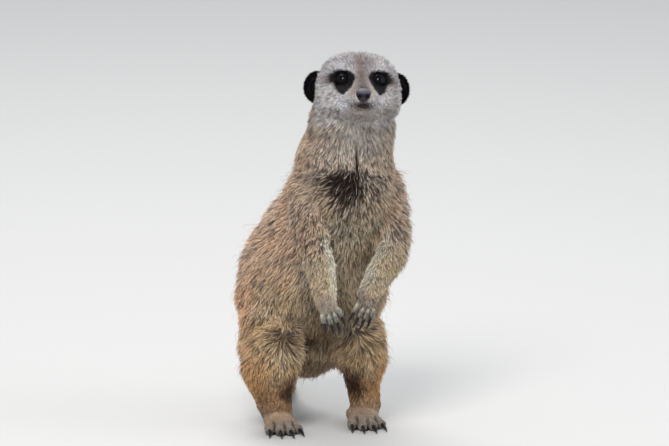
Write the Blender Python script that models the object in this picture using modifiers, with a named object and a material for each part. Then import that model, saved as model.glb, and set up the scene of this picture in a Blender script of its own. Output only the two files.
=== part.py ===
"""A life-size meerkat on guard: standing upright on its hind feet, propped by its tail, head turned to its right.

The animal faces -Y with +X on its left and +Z up. It is modelled as four fleshy forms, a core (trunk, neck and
head), two arms, two legs and a tail, each lofted, fused by a voxel remesh and then parted into named sub-parts by
thin cuts. Sizes are those of the furred outline, in millimetres in the tables below. Every neighbour keeps a
hairline gap, so that the solids meet without overlap.
"""

import math

import bmesh
import bpy
import numpy as np
from mathutils import Euler, Matrix, Vector

MM = 0.001
GAP = 0.0003  # hairline between neighbouring solids
CUT = 0.0004  # thickness of a parting cut
VOXEL = 0.0013  # grain of the remesh that fuses the lofts
SOLE_LEVEL = 0.0  # the floor, on which the soles and the tail are flat

# Spine from the seat up to the skull: height, x, y, half width, half depth, turn of the section in degrees.
TRUNK = (
    (66, -3, 22, 35, 33, 0),
    (77, -2, 23, 48, 45, 0),
    (98, 0, 23, 59, 53, 0),
    (124, 0, 21, 56, 54, 2),
    (148, 5.5, 13, 47.5, 51.5, 6),
    (172, 12, 0, 42, 47, 10),
    (194, 14, -13, 41, 42, 12),
    (215, 13, -22, 40, 37, 10),
    (236, 15, -29, 35.5, 33.5, 4),
    (256, 16, -33, 31, 31, -4),
)

# Limb stations: x, y, z, half width, half depth.
RIGHT_ARM = (
    (-16, -19, 190, 16, 17),
    (-18.5, -30, 170, 16, 16),
    (-19, -41, 152, 14.5, 14),
    (-17, -50, 138, 12.5, 12.5),
    (-17, -60, 125, 10.8, 11),
    (-17.5, -68, 113, 9, 8.6),
)
LEFT_ARM = (
    (43, -12, 192, 17, 17),
    (46.5, -21, 171, 16, 16),
    (48, -30, 153, 13.5, 14),
    (43, -40, 138, 12, 12.5),
    (31, -50, 126, 11, 11),
    (20, -59, 114, 9, 8.6),
)
RIGHT_LEG = (
    (-30, 24, 92, 25, 33),
    (-38, 8, 76, 27, 32),
    (-41, -4, 60, 24.5, 29),
    (-40.5, 2, 44, 21.5, 25),
    (-37.5, 5, 29, 16.5, 19),
    (-34.5, 3, 15, 13, 15),
)
LEFT_LEG = (
    (24, 24, 92, 25, 33),
    (27, 8, 76, 23, 32),
    (30, -4, 60, 21.5, 29),
    (34, 1, 44, 17.5, 24),
    (36, 3, 28, 13.8, 17),
    (37, 0, 15, 12.5, 14),
)
TAIL = (
    (-4, 52, 64, 17, 15),
    (-3, 70, 46, 14, 13),
    (-1, 84, 26, 11.5, 11),
    (3, 99, 11.5, 10, 9.5),
    (9, 117, 7.6, 9, 8.4),
    (15, 139, 6.9, 8.4, 7.6),
    (20, 162, 6.3, 7.6, 7),
    (23, 184, 5.6, 6.6, 6.2),
    (24, 203, 4.6, 4.6, 4.8),
)

# Skull sections in the head's own frame, back to front: y, half width, top, widest level, bottom.
HEAD = (
    (27, 15, 14, -1, -16),
    (21, 24, 20, -2, -22),
    (11, 30, 25.5, -4, -26),
    (0, 32.5, 27.5, -7, -27.5),
    (-10, 33.5, 26.5, -9, -28),
    (-19, 30, 22.5, -10, -27.5),
    (-27, 23, 15.5, -10, -26.5),
    (-34, 16.5, 6.5, -11, -25.5),
    (-41, 12, -0.5, -12, -23.5),
    (-47, 8.5, -4, -12, -20.5),
)
HEAD_CENTRE = Vector((17, -40, 271.5)) * MM
HEAD_TURN = math.radians(-13)  # to its right
HEAD_LIFT = math.radians(15.5)
HEAD_ROLL = math.radians(2.5)
EYE_RADIUS = 5.6 * MM
EYE_PLACE = Vector((13.2, -26.5, 3.3)) * MM
NOSE_PLACE = Vector((0, -49.5, -9.2)) * MM
NOSE_SIZE = Vector((5.6, 3.6, 5.0)) * MM
EAR_PLACE = Vector((31, 2, -0.5)) * MM
EAR_HEIGHT, EAR_REACH, EAR_THICK = 11.8 * MM, 9 * MM, 2.4 * MM

TRIANGLES = {"core": 2200, "arm": 470, "leg": 550, "tail": 240}


def material(name, colour, roughness):
    found = bpy.data.materials.new(name)
    found.use_nodes = True
    shader = found.node_tree.nodes["Principled BSDF"]
    shader.inputs["Base Color"].default_value = (*colour, 1)
    shader.inputs["Roughness"].default_value = roughness
    return found


def place(name, mesh, collection, look=None):
    """An object of that mesh in the collection."""
    made = bpy.data.objects.new(name, mesh)
    collection.objects.link(made)
    if look:
        mesh.materials.clear()
        mesh.materials.append(look)
    return made


def spline(rows, steps):
    """Rows of numbers through the given ones on a Catmull-Rom spline, with that many steps between two."""
    rows = np.array(rows, float)
    padded = np.vstack([2 * rows[0] - rows[1], rows, 2 * rows[-1] - rows[-2]])
    found = []
    for i in range(len(rows) - 1):
        a, b, c, d = padded[i : i + 4]
        for t in np.arange(steps) / steps:
            found.append(
                0.5 * (2 * b + (c - a) * t + (2 * a - 5 * b + 4 * c - d) * t**2 + (3 * b - a - 3 * c + d) * t**3)
            )
    return np.array([*found, rows[-1]])


def skinned(name, rings, poles):
    """A closed mesh over rings of equally many points, with a pole at each end."""
    mesh = bmesh.new()
    levels = [[mesh.verts.new(p) for p in ring] for ring in rings]
    start, end = (mesh.verts.new(p) for p in poles)
    count = len(rings[0])
    for i in range(count):
        j = (i + 1) % count
        mesh.faces.new((start, levels[0][j], levels[0][i]))
        mesh.faces.new((end, levels[-1][i], levels[-1][j]))
        for low, high in zip(levels, levels[1:]):
            mesh.faces.new((low[i], low[j], high[j], high[i]))
    bmesh.ops.recalc_face_normals(mesh, faces=mesh.faces)
    data = bpy.data.meshes.new(name)
    mesh.to_mesh(data)
    mesh.free()
    return data


def loft(name, rows, steps=6, sides=24, side=(1, 0, 0), bulge=(70, 45, 22), lean=1.0):
    """A round-ended tube through rows of x, y, z, half width, half depth and, if given, turn in degrees.

    Its sections lean only by that share of the path's own lean from upright.
    """
    rows = spline(rows, steps)
    centres, sizes = rows[:, :3] * MM, rows[:, 3:5] * MM
    turns = np.radians(rows[:, 5]) if rows.shape[1] > 5 else np.zeros(len(rows))
    along = np.gradient(centres, axis=0) * (lean, lean, 1)
    along /= np.linalg.norm(along, axis=1)[:, None]
    angles = np.linspace(0, 2 * math.pi, sides, endpoint=False)
    rings = []

    def ring(i, shift, scale):
        across = Matrix.Rotation(turns[i], 3, "Z") @ Vector(side)
        forward = Vector(along[i])
        across = (across - across.dot(forward) * forward).normalized()
        deep = forward.cross(across)
        middle = Vector(centres[i]) + forward * shift
        wide, thick = sizes[i] * scale
        return [middle + across * wide * math.cos(t) + deep * thick * math.sin(t) for t in angles]

    bulge = [math.radians(a) for a in bulge]
    for a in bulge:
        rings.append(ring(0, -min(sizes[0]) * math.sin(a), math.cos(a)))
    rings += [ring(i, 0, 1) for i in range(len(rows))]
    for a in reversed(bulge):
        rings.append(ring(-1, min(sizes[-1]) * math.sin(a), math.cos(a)))
    poles = (
        Vector(centres[0]) - Vector(along[0]) * min(sizes[0]),
        Vector(centres[-1]) + Vector(along[-1]) * min(sizes[-1]),
    )
    return skinned(name, rings, poles)


def ball(name, centre, size, turn=None, segments=20):
    """An ellipsoid as a mesh, turned about its own centre."""
    mesh = bmesh.new()
    bmesh.ops.create_uvsphere(mesh, u_segments=segments, v_segments=segments // 2, radius=1)
    spin = turn or Matrix.Identity(3)
    bmesh.ops.transform(
        mesh, verts=mesh.verts, matrix=Matrix.Translation(centre) @ spin.to_4x4() @ Matrix.Diagonal((*size, 1))
    )
    data = bpy.data.meshes.new(name)
    mesh.to_mesh(data)
    mesh.free()
    return data


def head_frame():
    """From the head's own frame to the animal's."""
    turn = Euler((-HEAD_LIFT, HEAD_ROLL, HEAD_TURN), "XYZ").to_matrix()
    return Matrix.Translation(HEAD_CENTRE) @ turn.to_4x4()


def head_meshes():
    """The skull's loft with cheeks, whisker pads, brows and chin as soft swellings."""
    rows = spline(HEAD, 4)
    angles = np.linspace(0, 2 * math.pi, 36, endpoint=False)
    rings = []
    for y, wide, top, level, bottom in rows:
        ring = []
        for t in angles:
            rise = (top - level) if math.sin(t) > 0 else (level - bottom)
            square = 0.78 if math.sin(t) > 0 else 0.95
            ring.append(
                Vector((
                    wide * math.copysign(abs(math.cos(t)) ** square, math.cos(t)),
                    y,
                    level + rise * math.copysign(abs(math.sin(t)) ** square, math.sin(t)),
                ))
                * MM
            )
        rings.append(ring)
    first, last = rows[0], rows[-1]
    poles = (Vector((0, first[0] + 4, 0)) * MM, Vector((0, last[0] - 2.5, -11)) * MM)
    made = [skinned("skull", rings, poles)]
    for mirror in (-1, 1):
        made += [
            ball("cheek", Vector((mirror * 21, -4, -12)) * MM, Vector((13, 17, 14)) * MM),
            ball("whisker_pad", Vector((mirror * 5.2, -41.5, -14)) * MM, Vector((6.6, 8, 6)) * MM),
            ball("brow", Vector((mirror * 13, -20, 10.5)) * MM, Vector((9.5, 7.5, 5)) * MM),
        ]
    made.append(ball("bridge", Vector((0, -36, -3.4)) * MM, Vector((6.2, 14, 5.6)) * MM))
    made.append(ball("chin", Vector((0, -37.5, -20.5)) * MM, Vector((8, 8.5, 5)) * MM))
    for mesh in made:
        mesh.transform(head_frame())
    return made


class Paw:
    """A hand or foot of four digits. Its frame has +X across, -Y towards the digits' tips and +Z out of its back."""

    def __init__(self, prefix, frame, size, digits, digit_radius, claw):
        self.prefix, self.frame, self.size = prefix, frame, size
        self.digits, self.radius, self.claw = digits, digit_radius, claw

    def flesh(self):
        wide, long, thick = self.size
        middle = self.frame @ Vector((0, -long * 0.5, 0))
        made = [ball("palm", middle, Vector((wide, long * 0.72, thick)), self.frame.to_3x3().normalized())]
        for root, knuckle, tip in self.digits:
            rows = [
                [*(self.frame @ Vector(p)) / MM, r / MM, r / MM]
                for p, r in zip((root, knuckle, tip), (self.radius, self.radius * 1.02, self.radius * 0.86))
            ]
            made.append(loft("digit", rows, steps=4, sides=16, side=self.frame.to_3x3() @ Vector((1, 0, 0))))
        return made

    def claws(self):
        """Name and mesh of each claw: a horn that curves down from just clear of its digit's tip."""
        length, thick, curl = self.claw
        found = []
        for number, (_, knuckle, tip) in enumerate(self.digits):
            reach = (Vector(tip) - Vector(knuckle)).normalized()
            down = Vector((0, 0, -1))
            down = (down - down.dot(reach) * reach).normalized()
            start = Vector(tip) + reach * (self.radius * 0.86 + thick * 0.8 + GAP)
            rows = []
            for k in range(5):
                share = k / 4
                turn = curl * share
                along = math.sin(turn) / curl * length
                drop = (1 - math.cos(turn)) / curl * length
                at = self.frame @ (start + reach * along + down * drop)
                radius = thick * (1 - share) ** 0.75 + 0.0003
                rows.append([*(at / MM), radius * 0.82 / MM, radius / MM])
            side = self.frame.to_3x3() @ Vector((1, 0, 0))
            found.append((f"{self.prefix}_claw_{number + 1}", loft("claw", rows, 1, 6, side, (45,))))
        return found


def paw_frame(place_mm, azimuth, pitch, roll=0.0):
    """A paw's frame: its digits point along that azimuth, dipped by pitch below the horizon, in degrees."""
    turn = Euler((math.radians(pitch), math.radians(roll), math.radians(azimuth)), "XYZ").to_matrix()
    return Matrix.Translation(Vector(place_mm) * MM) @ turn.to_4x4()


def foot(prefix, heel, azimuth):
    """A flat hind foot. Its digits lie a little apart."""
    digits = []
    for across, reach in ((-10.4, 39), (-3.7, 44), (3.7, 44), (10.4, 39)):
        root = Vector((across * 0.75, -24, -0.5)) * MM
        knuckle = Vector((across, -reach + 7, -2.7)) * MM
        tip = Vector((across * 1.1, -reach, -2.9)) * MM
        digits.append((root, knuckle, tip))
    frame = paw_frame(heel, azimuth, 0)
    return Paw(prefix, frame, Vector((13, 38, 7.2)) * MM, digits, 4 * MM, (9.5 * MM, 1.7 * MM, 0.55))


def hand(prefix, wrist, azimuth, pitch, roll):
    """A hanging hand. Its digits and long digging claws point down."""
    digits = []
    for across, reach in ((-7.2, 14.4), (-2.5, 17.2), (2.5, 17.2), (7.2, 14.4)):
        root = Vector((across * 0.6, -7, 0.8)) * MM
        knuckle = Vector((across * 0.85, -reach + 5, 1.0)) * MM
        tip = Vector((across * 0.95, -reach, -0.8)) * MM
        digits.append((root, knuckle, tip))
    frame = paw_frame(wrist, azimuth, pitch, roll)
    return Paw(prefix, frame, Vector((8.6, 14.5, 5.4)) * MM, digits, 2.55 * MM, (9 * MM, 1.35 * MM, 0.75))


RIGHT_FOOT = foot("right_foot", (-31, 16, 6.6), -8)
LEFT_FOOT = foot("left_foot", (35.5, 13, 6.6), -9)
RIGHT_HAND = hand("right_hand", (-18.2, -70, 113), -5, 79, -20)
LEFT_HAND = hand("left_hand", (19.5, -61, 113), -4, 79, 21)


def fused(name, meshes, triangles, collection, smoothing=6):
    """One closed mesh round the given ones, as an object: joined, remeshed, smoothed and thinned."""
    joined = bmesh.new()
    for mesh in meshes:
        joined.from_mesh(mesh)
        bpy.data.meshes.remove(mesh)
    data = bpy.data.meshes.new(name)
    joined.to_mesh(data)
    joined.free()
    made = place(name, data, collection)
    remesh = made.modifiers.new("Fuse", "REMESH")
    remesh.mode, remesh.voxel_size = "VOXEL", VOXEL
    soften = made.modifiers.new("Soften", "SMOOTH")
    soften.factor, soften.iterations = 0.5, smoothing
    bake(made)
    thin = made.modifiers.new("Thin", "DECIMATE")
    thin.ratio = triangles / (2 * len(made.data.polygons))
    bake(made)
    return made


def bake(obj):
    """Replaces the object's mesh by the evaluated one, and drops its modifiers."""
    bpy.context.view_layer.update()
    evaluated = obj.evaluated_get(bpy.context.evaluated_depsgraph_get())
    data = bpy.data.meshes.new_from_object(evaluated)
    obj.modifiers.clear()
    old, obj.data = obj.data, data
    bpy.data.meshes.remove(old)


def cut_from(obj, cutter):
    tool = obj.modifiers.new("Cut", "BOOLEAN")
    tool.operation, tool.object, tool.solver = "DIFFERENCE", cutter, "EXACT"
    tool.use_self = True
    bake(obj)


def grown(obj, by, cutters):
    """A helper the shape of obj, swollen by that much."""
    helper = place(obj.name + "_clearance", obj.data.copy(), cutters)
    swell = helper.modifiers.new("Swell", "DISPLACE")
    swell.strength, swell.mid_level = by, 0
    bake(helper)
    helper.hide_render, helper.display_type = True, "WIRE"
    return helper


def parting_disc(centre_mm, normal, radius_mm, cutters):
    """A thin round plate across a limb."""
    mesh = bmesh.new()
    bmesh.ops.create_cone(
        mesh, cap_ends=True, segments=24, radius1=radius_mm * MM, radius2=radius_mm * MM, depth=CUT
    )
    turn = Vector(normal).to_track_quat("Z", "Y").to_matrix().to_4x4()
    mesh.transform(Matrix.Translation(Vector(centre_mm) * MM) @ turn)
    data = bpy.data.meshes.new("disc")
    mesh.to_mesh(data)
    mesh.free()
    disc = place("disc", data, cutters)
    disc.hide_render, disc.display_type = True, "WIRE"
    return disc


def parted(obj, cuts, names, collection, cutters, look):
    """Parts obj by thin discs, and names each piece after the anchor nearest its middle."""
    for centre, normal, radius in cuts:
        cut_from(obj, parting_disc(centre, normal, radius, cutters))
    mesh = bmesh.new()
    mesh.from_mesh(obj.data)
    pieces, left = [], set(mesh.verts)
    while left:
        piece, edge = set(), [left.pop()]
        while edge:
            vert = edge.pop()
            piece.add(vert)
            for link in vert.link_edges:
                other = link.other_vert(vert)
                if other in left:
                    left.remove(other)
                    edge.append(other)
        pieces.append(piece)
    pieces = [p for p in pieces if len(p) > 20]
    for name, anchor in names.items():
        target = Vector(anchor) * MM

        def away(piece):
            return (sum((v.co for v in piece), Vector()) / len(piece) - target).length

        piece = min(pieces, key=away)
        keep = mesh.copy()
        keep.verts.ensure_lookup_table()
        mesh.verts.index_update()
        indices = {v.index for v in piece}
        bmesh.ops.delete(keep, geom=[v for v in keep.verts if v.index not in indices], context="VERTS")
        data = bpy.data.meshes.new(name)
        keep.to_mesh(data)
        keep.free()
        place(name, data, collection, look)
        pieces.remove(piece)
    if pieces:
        print("unnamed pieces:", [(len(p), tuple(sum((v.co for v in p), Vector()) / len(p))) for p in pieces])
    mesh.free()
    bpy.data.objects.remove(obj)


def flatten_soles(obj, cutters):
    """Cuts away what lies below the floor."""
    mesh = bmesh.new()
    bmesh.ops.create_cube(mesh, size=1)
    mesh.transform(Matrix.Translation((0, 0, SOLE_LEVEL - 0.5)))
    data = bpy.data.meshes.new("floor_cutter")
    mesh.to_mesh(data)
    mesh.free()
    block = place("floor_cutter", data, cutters)
    block.hide_render, block.display_type = True, "WIRE"
    cut_from(obj, block)


def ear(side):
    """A crescent flap on the head's side: a curved, round-edged plate, thick enough to hold."""
    rows = []
    for k in range(7):
        turn = math.radians(-62 + 124 * k / 6)
        reach = EAR_REACH * math.cos(turn) * 0.62
        width = 1.6 * MM + EAR_REACH * 0.44 * math.cos(turn) ** 0.8
        at = EAR_PLACE + Vector((reach * 0.86, reach * 0.18, EAR_HEIGHT * math.sin(turn)))
        rows.append([side * at.x / MM, at.y / MM, at.z / MM, width / MM, EAR_THICK * 0.55 / MM])
    mesh = loft("ear", rows, 2, 8, (1, 0, 0), (45,))
    mesh.transform(head_frame())
    return mesh


def nose():
    """The leathery pad: a soft wedge, wide above and narrow below."""
    mesh = bmesh.new()
    bmesh.ops.create_uvsphere(mesh, u_segments=12, v_segments=8, radius=1)
    for vert in mesh.verts:
        vert.co.x *= 1 + 0.22 * vert.co.z
    mesh.transform(head_frame() @ Matrix.Translation(NOSE_PLACE) @ Matrix.Diagonal((*NOSE_SIZE, 1)))
    data = bpy.data.meshes.new("nose")
    mesh.to_mesh(data)
    mesh.free()
    return data


def main():
    for obj in list(bpy.data.objects):
        bpy.data.objects.remove(obj)
    animal = bpy.data.collections.new("Meerkat")
    cutters = bpy.data.collections.new("Cutters")
    for collection in (animal, cutters):
        bpy.context.scene.collection.children.link(collection)
    coat = material("Coat", (0.42, 0.29, 0.18), 0.9)
    dark = material("Dark fur", (0.03, 0.025, 0.025), 0.85)
    horn = material("Claw horn", (0.05, 0.045, 0.045), 0.45)
    leather = material("Nose leather", (0.07, 0.06, 0.065), 0.5)
    glass = material("Eye", (0.015, 0.012, 0.012), 0.08)

    trunk = loft("trunk", [(x, y, z, a, b, turn) for z, x, y, a, b, turn in TRUNK], 6, 40, lean=0.45)
    core = fused("core", [trunk, *head_meshes()], TRIANGLES["core"], cutters)

    clearance = grown(core, GAP * 1.5, cutters)
    for name, side in (("right_eye", -1), ("left_eye", 1)):
        centre = head_frame() @ Vector((side * EYE_PLACE.x, EYE_PLACE.y, EYE_PLACE.z))
        spin = head_frame().to_3x3()
        place(name, ball(name, centre, Vector((EYE_RADIUS,) * 3), spin, 12), animal, glass)
        socket = place("socket", ball("socket", centre, Vector((EYE_RADIUS + GAP * 1.4,) * 3), spin, 14), cutters)
        socket.hide_render, socket.display_type = True, "WIRE"
        cut_from(core, socket)

    arms = {
        "right": fused("right_arm", [loft("arm", RIGHT_ARM), *RIGHT_HAND.flesh()], TRIANGLES["arm"], cutters, 3),
        "left": fused("left_arm", [loft("arm", LEFT_ARM), *LEFT_HAND.flesh()], TRIANGLES["arm"], cutters, 3),
    }
    legs = {
        "right": fused("right_leg", [loft("leg", RIGHT_LEG), *RIGHT_FOOT.flesh()], TRIANGLES["leg"], cutters, 3),
        "left": fused("left_leg", [loft("leg", LEFT_LEG), *LEFT_FOOT.flesh()], TRIANGLES["leg"], cutters, 3),
    }
    tail = fused("tail", [loft("tail", TAIL)], TRIANGLES["tail"], cutters, 3)
    leg_clearance = {side: grown(leg, GAP * 1.5, cutters) for side, leg in legs.items()}
    for limb in (*arms.values(), *legs.values(), tail):
        cut_from(limb, clearance)
    for side, paw in (("right", RIGHT_FOOT), ("left", LEFT_FOOT)):
        cut_from(tail, leg_clearance[side])
        cut_from(arms[side], leg_clearance[side])
        flatten_soles(legs[side], cutters)
    cut_from(legs["left"], leg_clearance["right"])
    flatten_soles(tail, cutters)

    for paw in (RIGHT_HAND, LEFT_HAND, RIGHT_FOOT, LEFT_FOOT):
        for name, mesh in paw.claws():
            place(name, mesh, animal, horn)

    pad = place("nose", nose(), animal, leather)
    cut_from(pad, clearance)
    for name, side in (("right_ear", -1), ("left_ear", 1)):
        flap = place(name, ear(side), animal, dark)
        cut_from(flap, clearance)

    parted(
        core,
        [((13, -29, 236), (0.1, -0.25, 1), 60), ((9.5, -16, 206), (0.08, -0.4, 1), 60)],
        {"head": (17, -40, 270), "neck": (11, -22, 221), "trunk": (0, 10, 130)},
        animal, cutters, coat,
    )
    parted(
        arms["right"],
        [((-20.8, -44, 136), (0.1, -0.75, -0.8), 26), ((-18.6, -68.5, 113), (0.05, -0.45, -1), 22)],
        {"right_upper_arm": (-22, -32, 160), "right_forearm": (-19, -58, 122), "right_hand": (-18, -72, 100)},
        animal, cutters, coat,
    )
    parted(
        arms["left"],
        [((50, -38, 140), (-0.5, -0.6, -0.8), 26), ((20.6, -59.5, 112.6), (-0.5, -0.3, -1), 20)],
        {"left_upper_arm": (48, -24, 160), "left_forearm": (35, -49, 126), "left_hand": (17, -62, 100)},
        animal, cutters, coat,
    )
    for side, knee, ankle in (
        ("right", (-38, -2, 52), (-34.5, 3, 18)),
        ("left", (33, -2, 52), (36, 1, 18)),
    ):
        parted(
            legs[side],
            [(knee, (0, 0.15, 1), 50), (ankle, (0, 0.1, 1), 30)],
            {
                f"{side}_thigh": (knee[0], 5, 75),
                f"{side}_shank": (knee[0], 2, 35),
                f"{side}_foot": (ankle[0], -15, 8),
            },
            animal, cutters, coat,
        )
    parted(
        tail,
        [((4, 101, 11), (0.25, 1, -0.35), 20)],
        {"tail_base": (-2, 75, 40), "tail_end": (15, 150, 6)},
        animal, cutters, coat,
    )
    corners = [Vector(corner) for obj in animal.objects for corner in obj.bound_box]
    middle = [(min(c[i] for c in corners) + max(c[i] for c in corners)) / 2 for i in (0, 1)]
    for obj in animal.objects:
        obj.data.transform(Matrix.Translation((-middle[0], -middle[1], -SOLE_LEVEL)))
        obj.data.shade_smooth()
        obj.data.set_sharp_from_angle(angle=math.radians(50))


main()
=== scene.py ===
"""Looks of the meerkat: one seamless skin, a coat of solid tufts, eyes, nose, ears, claws, whiskers and studio."""

import math

import bmesh
import bpy
import numpy as np
from mathutils import Euler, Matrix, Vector
from mathutils.kdtree import KDTree


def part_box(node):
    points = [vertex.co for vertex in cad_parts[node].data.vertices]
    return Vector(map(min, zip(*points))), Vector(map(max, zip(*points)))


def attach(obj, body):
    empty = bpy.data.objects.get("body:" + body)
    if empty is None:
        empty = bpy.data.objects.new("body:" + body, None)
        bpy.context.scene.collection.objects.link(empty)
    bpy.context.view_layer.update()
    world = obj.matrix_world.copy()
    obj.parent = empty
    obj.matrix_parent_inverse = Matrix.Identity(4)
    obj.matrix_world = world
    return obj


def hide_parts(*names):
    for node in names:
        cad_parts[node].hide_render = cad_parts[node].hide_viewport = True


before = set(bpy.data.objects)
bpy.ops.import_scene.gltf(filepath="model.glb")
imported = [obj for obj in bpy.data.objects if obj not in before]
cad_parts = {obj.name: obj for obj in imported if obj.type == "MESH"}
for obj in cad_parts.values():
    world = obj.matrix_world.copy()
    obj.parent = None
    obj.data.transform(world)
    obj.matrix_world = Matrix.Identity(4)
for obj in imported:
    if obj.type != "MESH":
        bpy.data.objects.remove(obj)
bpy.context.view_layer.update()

MM = 0.001
RNG = np.random.default_rng(20)

# For each part: depth of the coat, length of the fur, width of a tuft (mm) and lift of the fur from the skin (deg).
COAT = {
    "head": (2.2, 4.6, 0.42, 24), "neck": (5.0, 8.0, 0.42, 24), "trunk": (6.0, 11.0, 0.48, 27),
    "upper_arm": (4.0, 8.0, 0.44, 27), "forearm": (2.6, 5.6, 0.38, 24), "hand": (0.8, 1.9, 0.32, 10),
    "thigh": (5.0, 12.0, 0.48, 26), "shank": (3.4, 7.0, 0.42, 22), "foot": (0.9, 2.2, 0.34, 10),
    "tail_base": (3.2, 9.0, 0.50, 16), "tail_end": (1.8, 6.0, 0.44, 14),
}
SIDES = {"right": -1, "left": 1}
LIMBS = (("upper_arm", "forearm", "hand"), ("thigh", "shank", "foot"))
FLESH = ("head", "neck", "trunk", *(f"{side}_{part}" for limb in LIMBS for side in SIDES for part in limb), "tail_base",
         "tail_end")


KINDS = [name.removeprefix("right_").removeprefix("left_") for name in FLESH]
COAT_TABLE = np.array([COAT[kind] for kind in KINDS])

# ---------------- the animal's own frames

HEAD_TURN, HEAD_LIFT, HEAD_ROLL = math.radians(-13), math.radians(15.5), math.radians(2.5)
HEAD_AXES = np.array(Euler((-HEAD_LIFT, HEAD_ROLL, HEAD_TURN), "XYZ").to_matrix())
EYE = np.array((13.2, -26.5, 3.3))  # the left eye in the head's frame, mm
NOSE = np.array((0, -49.5, -9.2))
EAR = np.array((31.0, 2.0, -0.5))


def middle(node):
    low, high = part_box(node)
    return np.array((low + high) / 2)


EYES_MIDDLE = (middle("right_eye") + middle("left_eye")) / 2
HEAD_ORIGIN = EYES_MIDDLE - HEAD_AXES @ (np.array((0, EYE[1], EYE[2])) * MM)
SHIFT = HEAD_ORIGIN - np.array((17, -40, 271.5)) * MM  # from the design's frame to the part's


def in_head(points):
    """Points in the head's frame, in mm: x to its left, -y out of its face, z up."""
    return (points - HEAD_ORIGIN) @ HEAD_AXES / MM


def from_head(points):
    return HEAD_ORIGIN + np.asarray(points) @ HEAD_AXES.T * MM


def in_body(points):
    """Points in the body's frame, in mm, whose origin is on the floor between the ankles."""
    return (points - SHIFT) / MM


def from_body(points):
    return np.asarray(points) * MM + SHIFT


# Middle lines of the body's parts, in the body's frame.
LINES = {
    "trunk": ((16, -30, 262), (14, -22, 215), (10, 5, 165), (1, 22, 115), (-2, 22, 60), (-2, 22, 30)),
    "right_arm": ((-16, -19, 192), (-19, -41, 152), (-17, -50, 138), (-17.5, -68, 113), (-11, -73, 84)),
    "left_arm": ((43, -12, 194), (48, -30, 153), (43, -40, 138), (20, -59, 114), (11, -63, 84)),
    "right_leg": ((-30, 26, 100), (-40, 0, 62), (-38, 5, 30), (-34, 4, 10), (-43, -36, 4)),
    "left_leg": ((24, 26, 100), (29, 0, 62), (35, 4, 30), (36, 2, 10), (42, -36, 4)),
    "tail": ((-4, 42, 72), (-3, 70, 46), (-1, 86, 24), (3, 102, 9), (15, 139, 6), (24, 205, 5)),
}
KNEES = {-1: np.array((-36, -28, 76)), 1: np.array((19, -25, 76))}
CHEST_WHORL = np.array((12, -58, 211))
PARTING_TOP, PARTING_FOOT = 242, 212  # heights of the ends of the parting on the throat


def parting(body):
    """How far to the left of the throat's parting each point is, in mm."""
    return body[:, 0] - (9.6 + 0.10 * (240 - body[:, 2]))


def paw(place, azimuth, pitch, roll, digits, root, knuckle, tip, radius):
    """The four digits of a paw as lines in the body's frame, with their radius."""
    turn = np.array(Euler((math.radians(pitch), math.radians(roll), math.radians(azimuth)), "XYZ").to_matrix())
    lines = []
    for across, reach in digits:
        points = [
            (across * root[0], root[1], root[2]),
            (across * knuckle[0], knuckle[1] - reach, knuckle[2]),
            (across * tip[0], tip[1] - reach, tip[2]),
        ]
        lines.append(np.array(place) + np.array(points) @ turn.T)
    return lines, radius


FOOT = (((-10.4, 39), (-3.7, 44), (3.7, 44), (10.4, 39)), (0.75, -24, -0.5), (1.0, 7, -2.7), (1.1, -0.8, -2.9), 3.3)
HAND = (((-7.2, 14.4), (-2.5, 17.2), (2.5, 17.2), (7.2, 14.4)), (0.6, -7, 0.8), (0.85, 5, 1.0), (0.95, -0.9, -0.8),
        2.15)
PAWS = {
    "right_foot": paw((-31, 16, 6.6), -8, 0, 0, *FOOT),
    "left_foot": paw((35.5, 13, 6.6), -9, 0, 0, *FOOT),
    "right_hand": paw((-18.2, -70, 113), -5, 79, -20, *HAND),
    "left_hand": paw((19.5, -61, 113), -4, 79, 21, *HAND),
}


def smooth(low, high, x):
    """0 below low, 1 above high, eased between."""
    t = np.clip((x - low) / (high - low), 0, 1)
    return t * t * (3 - 2 * t)


def near(points, centre, size):
    """1 at the centre, falling off as a bell of that size in mm along each axis."""
    return np.exp(-(((points - np.asarray(centre, float)) / np.asarray(size, float)) ** 2).sum(-1))


def bell(distance, width, power=2):
    """1 at no distance, falling off over that width."""
    return np.exp(-((distance / width) ** power))


def size_of(vectors):
    return np.linalg.norm(vectors, axis=-1)


def laid_flat(ways, normals):
    """Directions turned to lie along the surface."""
    return unit(ways - (ways * normals).sum(1)[:, None] * normals)


def share_of(weights, *names):
    """How much of each point belongs to the parts named."""
    return sum(weights[:, FLESH.index(name)] for name in names)


def pair_share(weights, *parts):
    """How much of each point belongs to the right and left parts of those kinds."""
    return share_of(weights, *(f"{side}_{part}" for part in parts for side in SIDES))


def columns(x, y, z):
    """Vectors from their three columns, each an array or a number."""
    return np.stack(np.broadcast_arrays(x, y, z), 1).astype(float)


def unit(vectors):
    return vectors / np.maximum(np.linalg.norm(vectors, axis=-1, keepdims=True), 1e-9)


def on_line(points, line):
    """How far along the line each point's nearest place is, that place, and the line's direction there."""
    line = np.asarray(line, float)
    best = np.full(len(points), np.inf)
    along, place = np.zeros(len(points)), np.zeros_like(points)
    tangent, start = np.zeros_like(points), 0.0
    for a, b in zip(line, line[1:]):
        reach = b - a
        length = np.linalg.norm(reach)
        share = np.clip(((points - a) @ reach) / length**2, 0, 1)
        here = a + share[:, None] * reach
        far = size_of(points - here)
        won = far < best
        best[won], along[won] = far[won], start + share[won] * length
        place[won], tangent[won] = here[won], reach / length
        start += length
    return along, place, tangent


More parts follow.
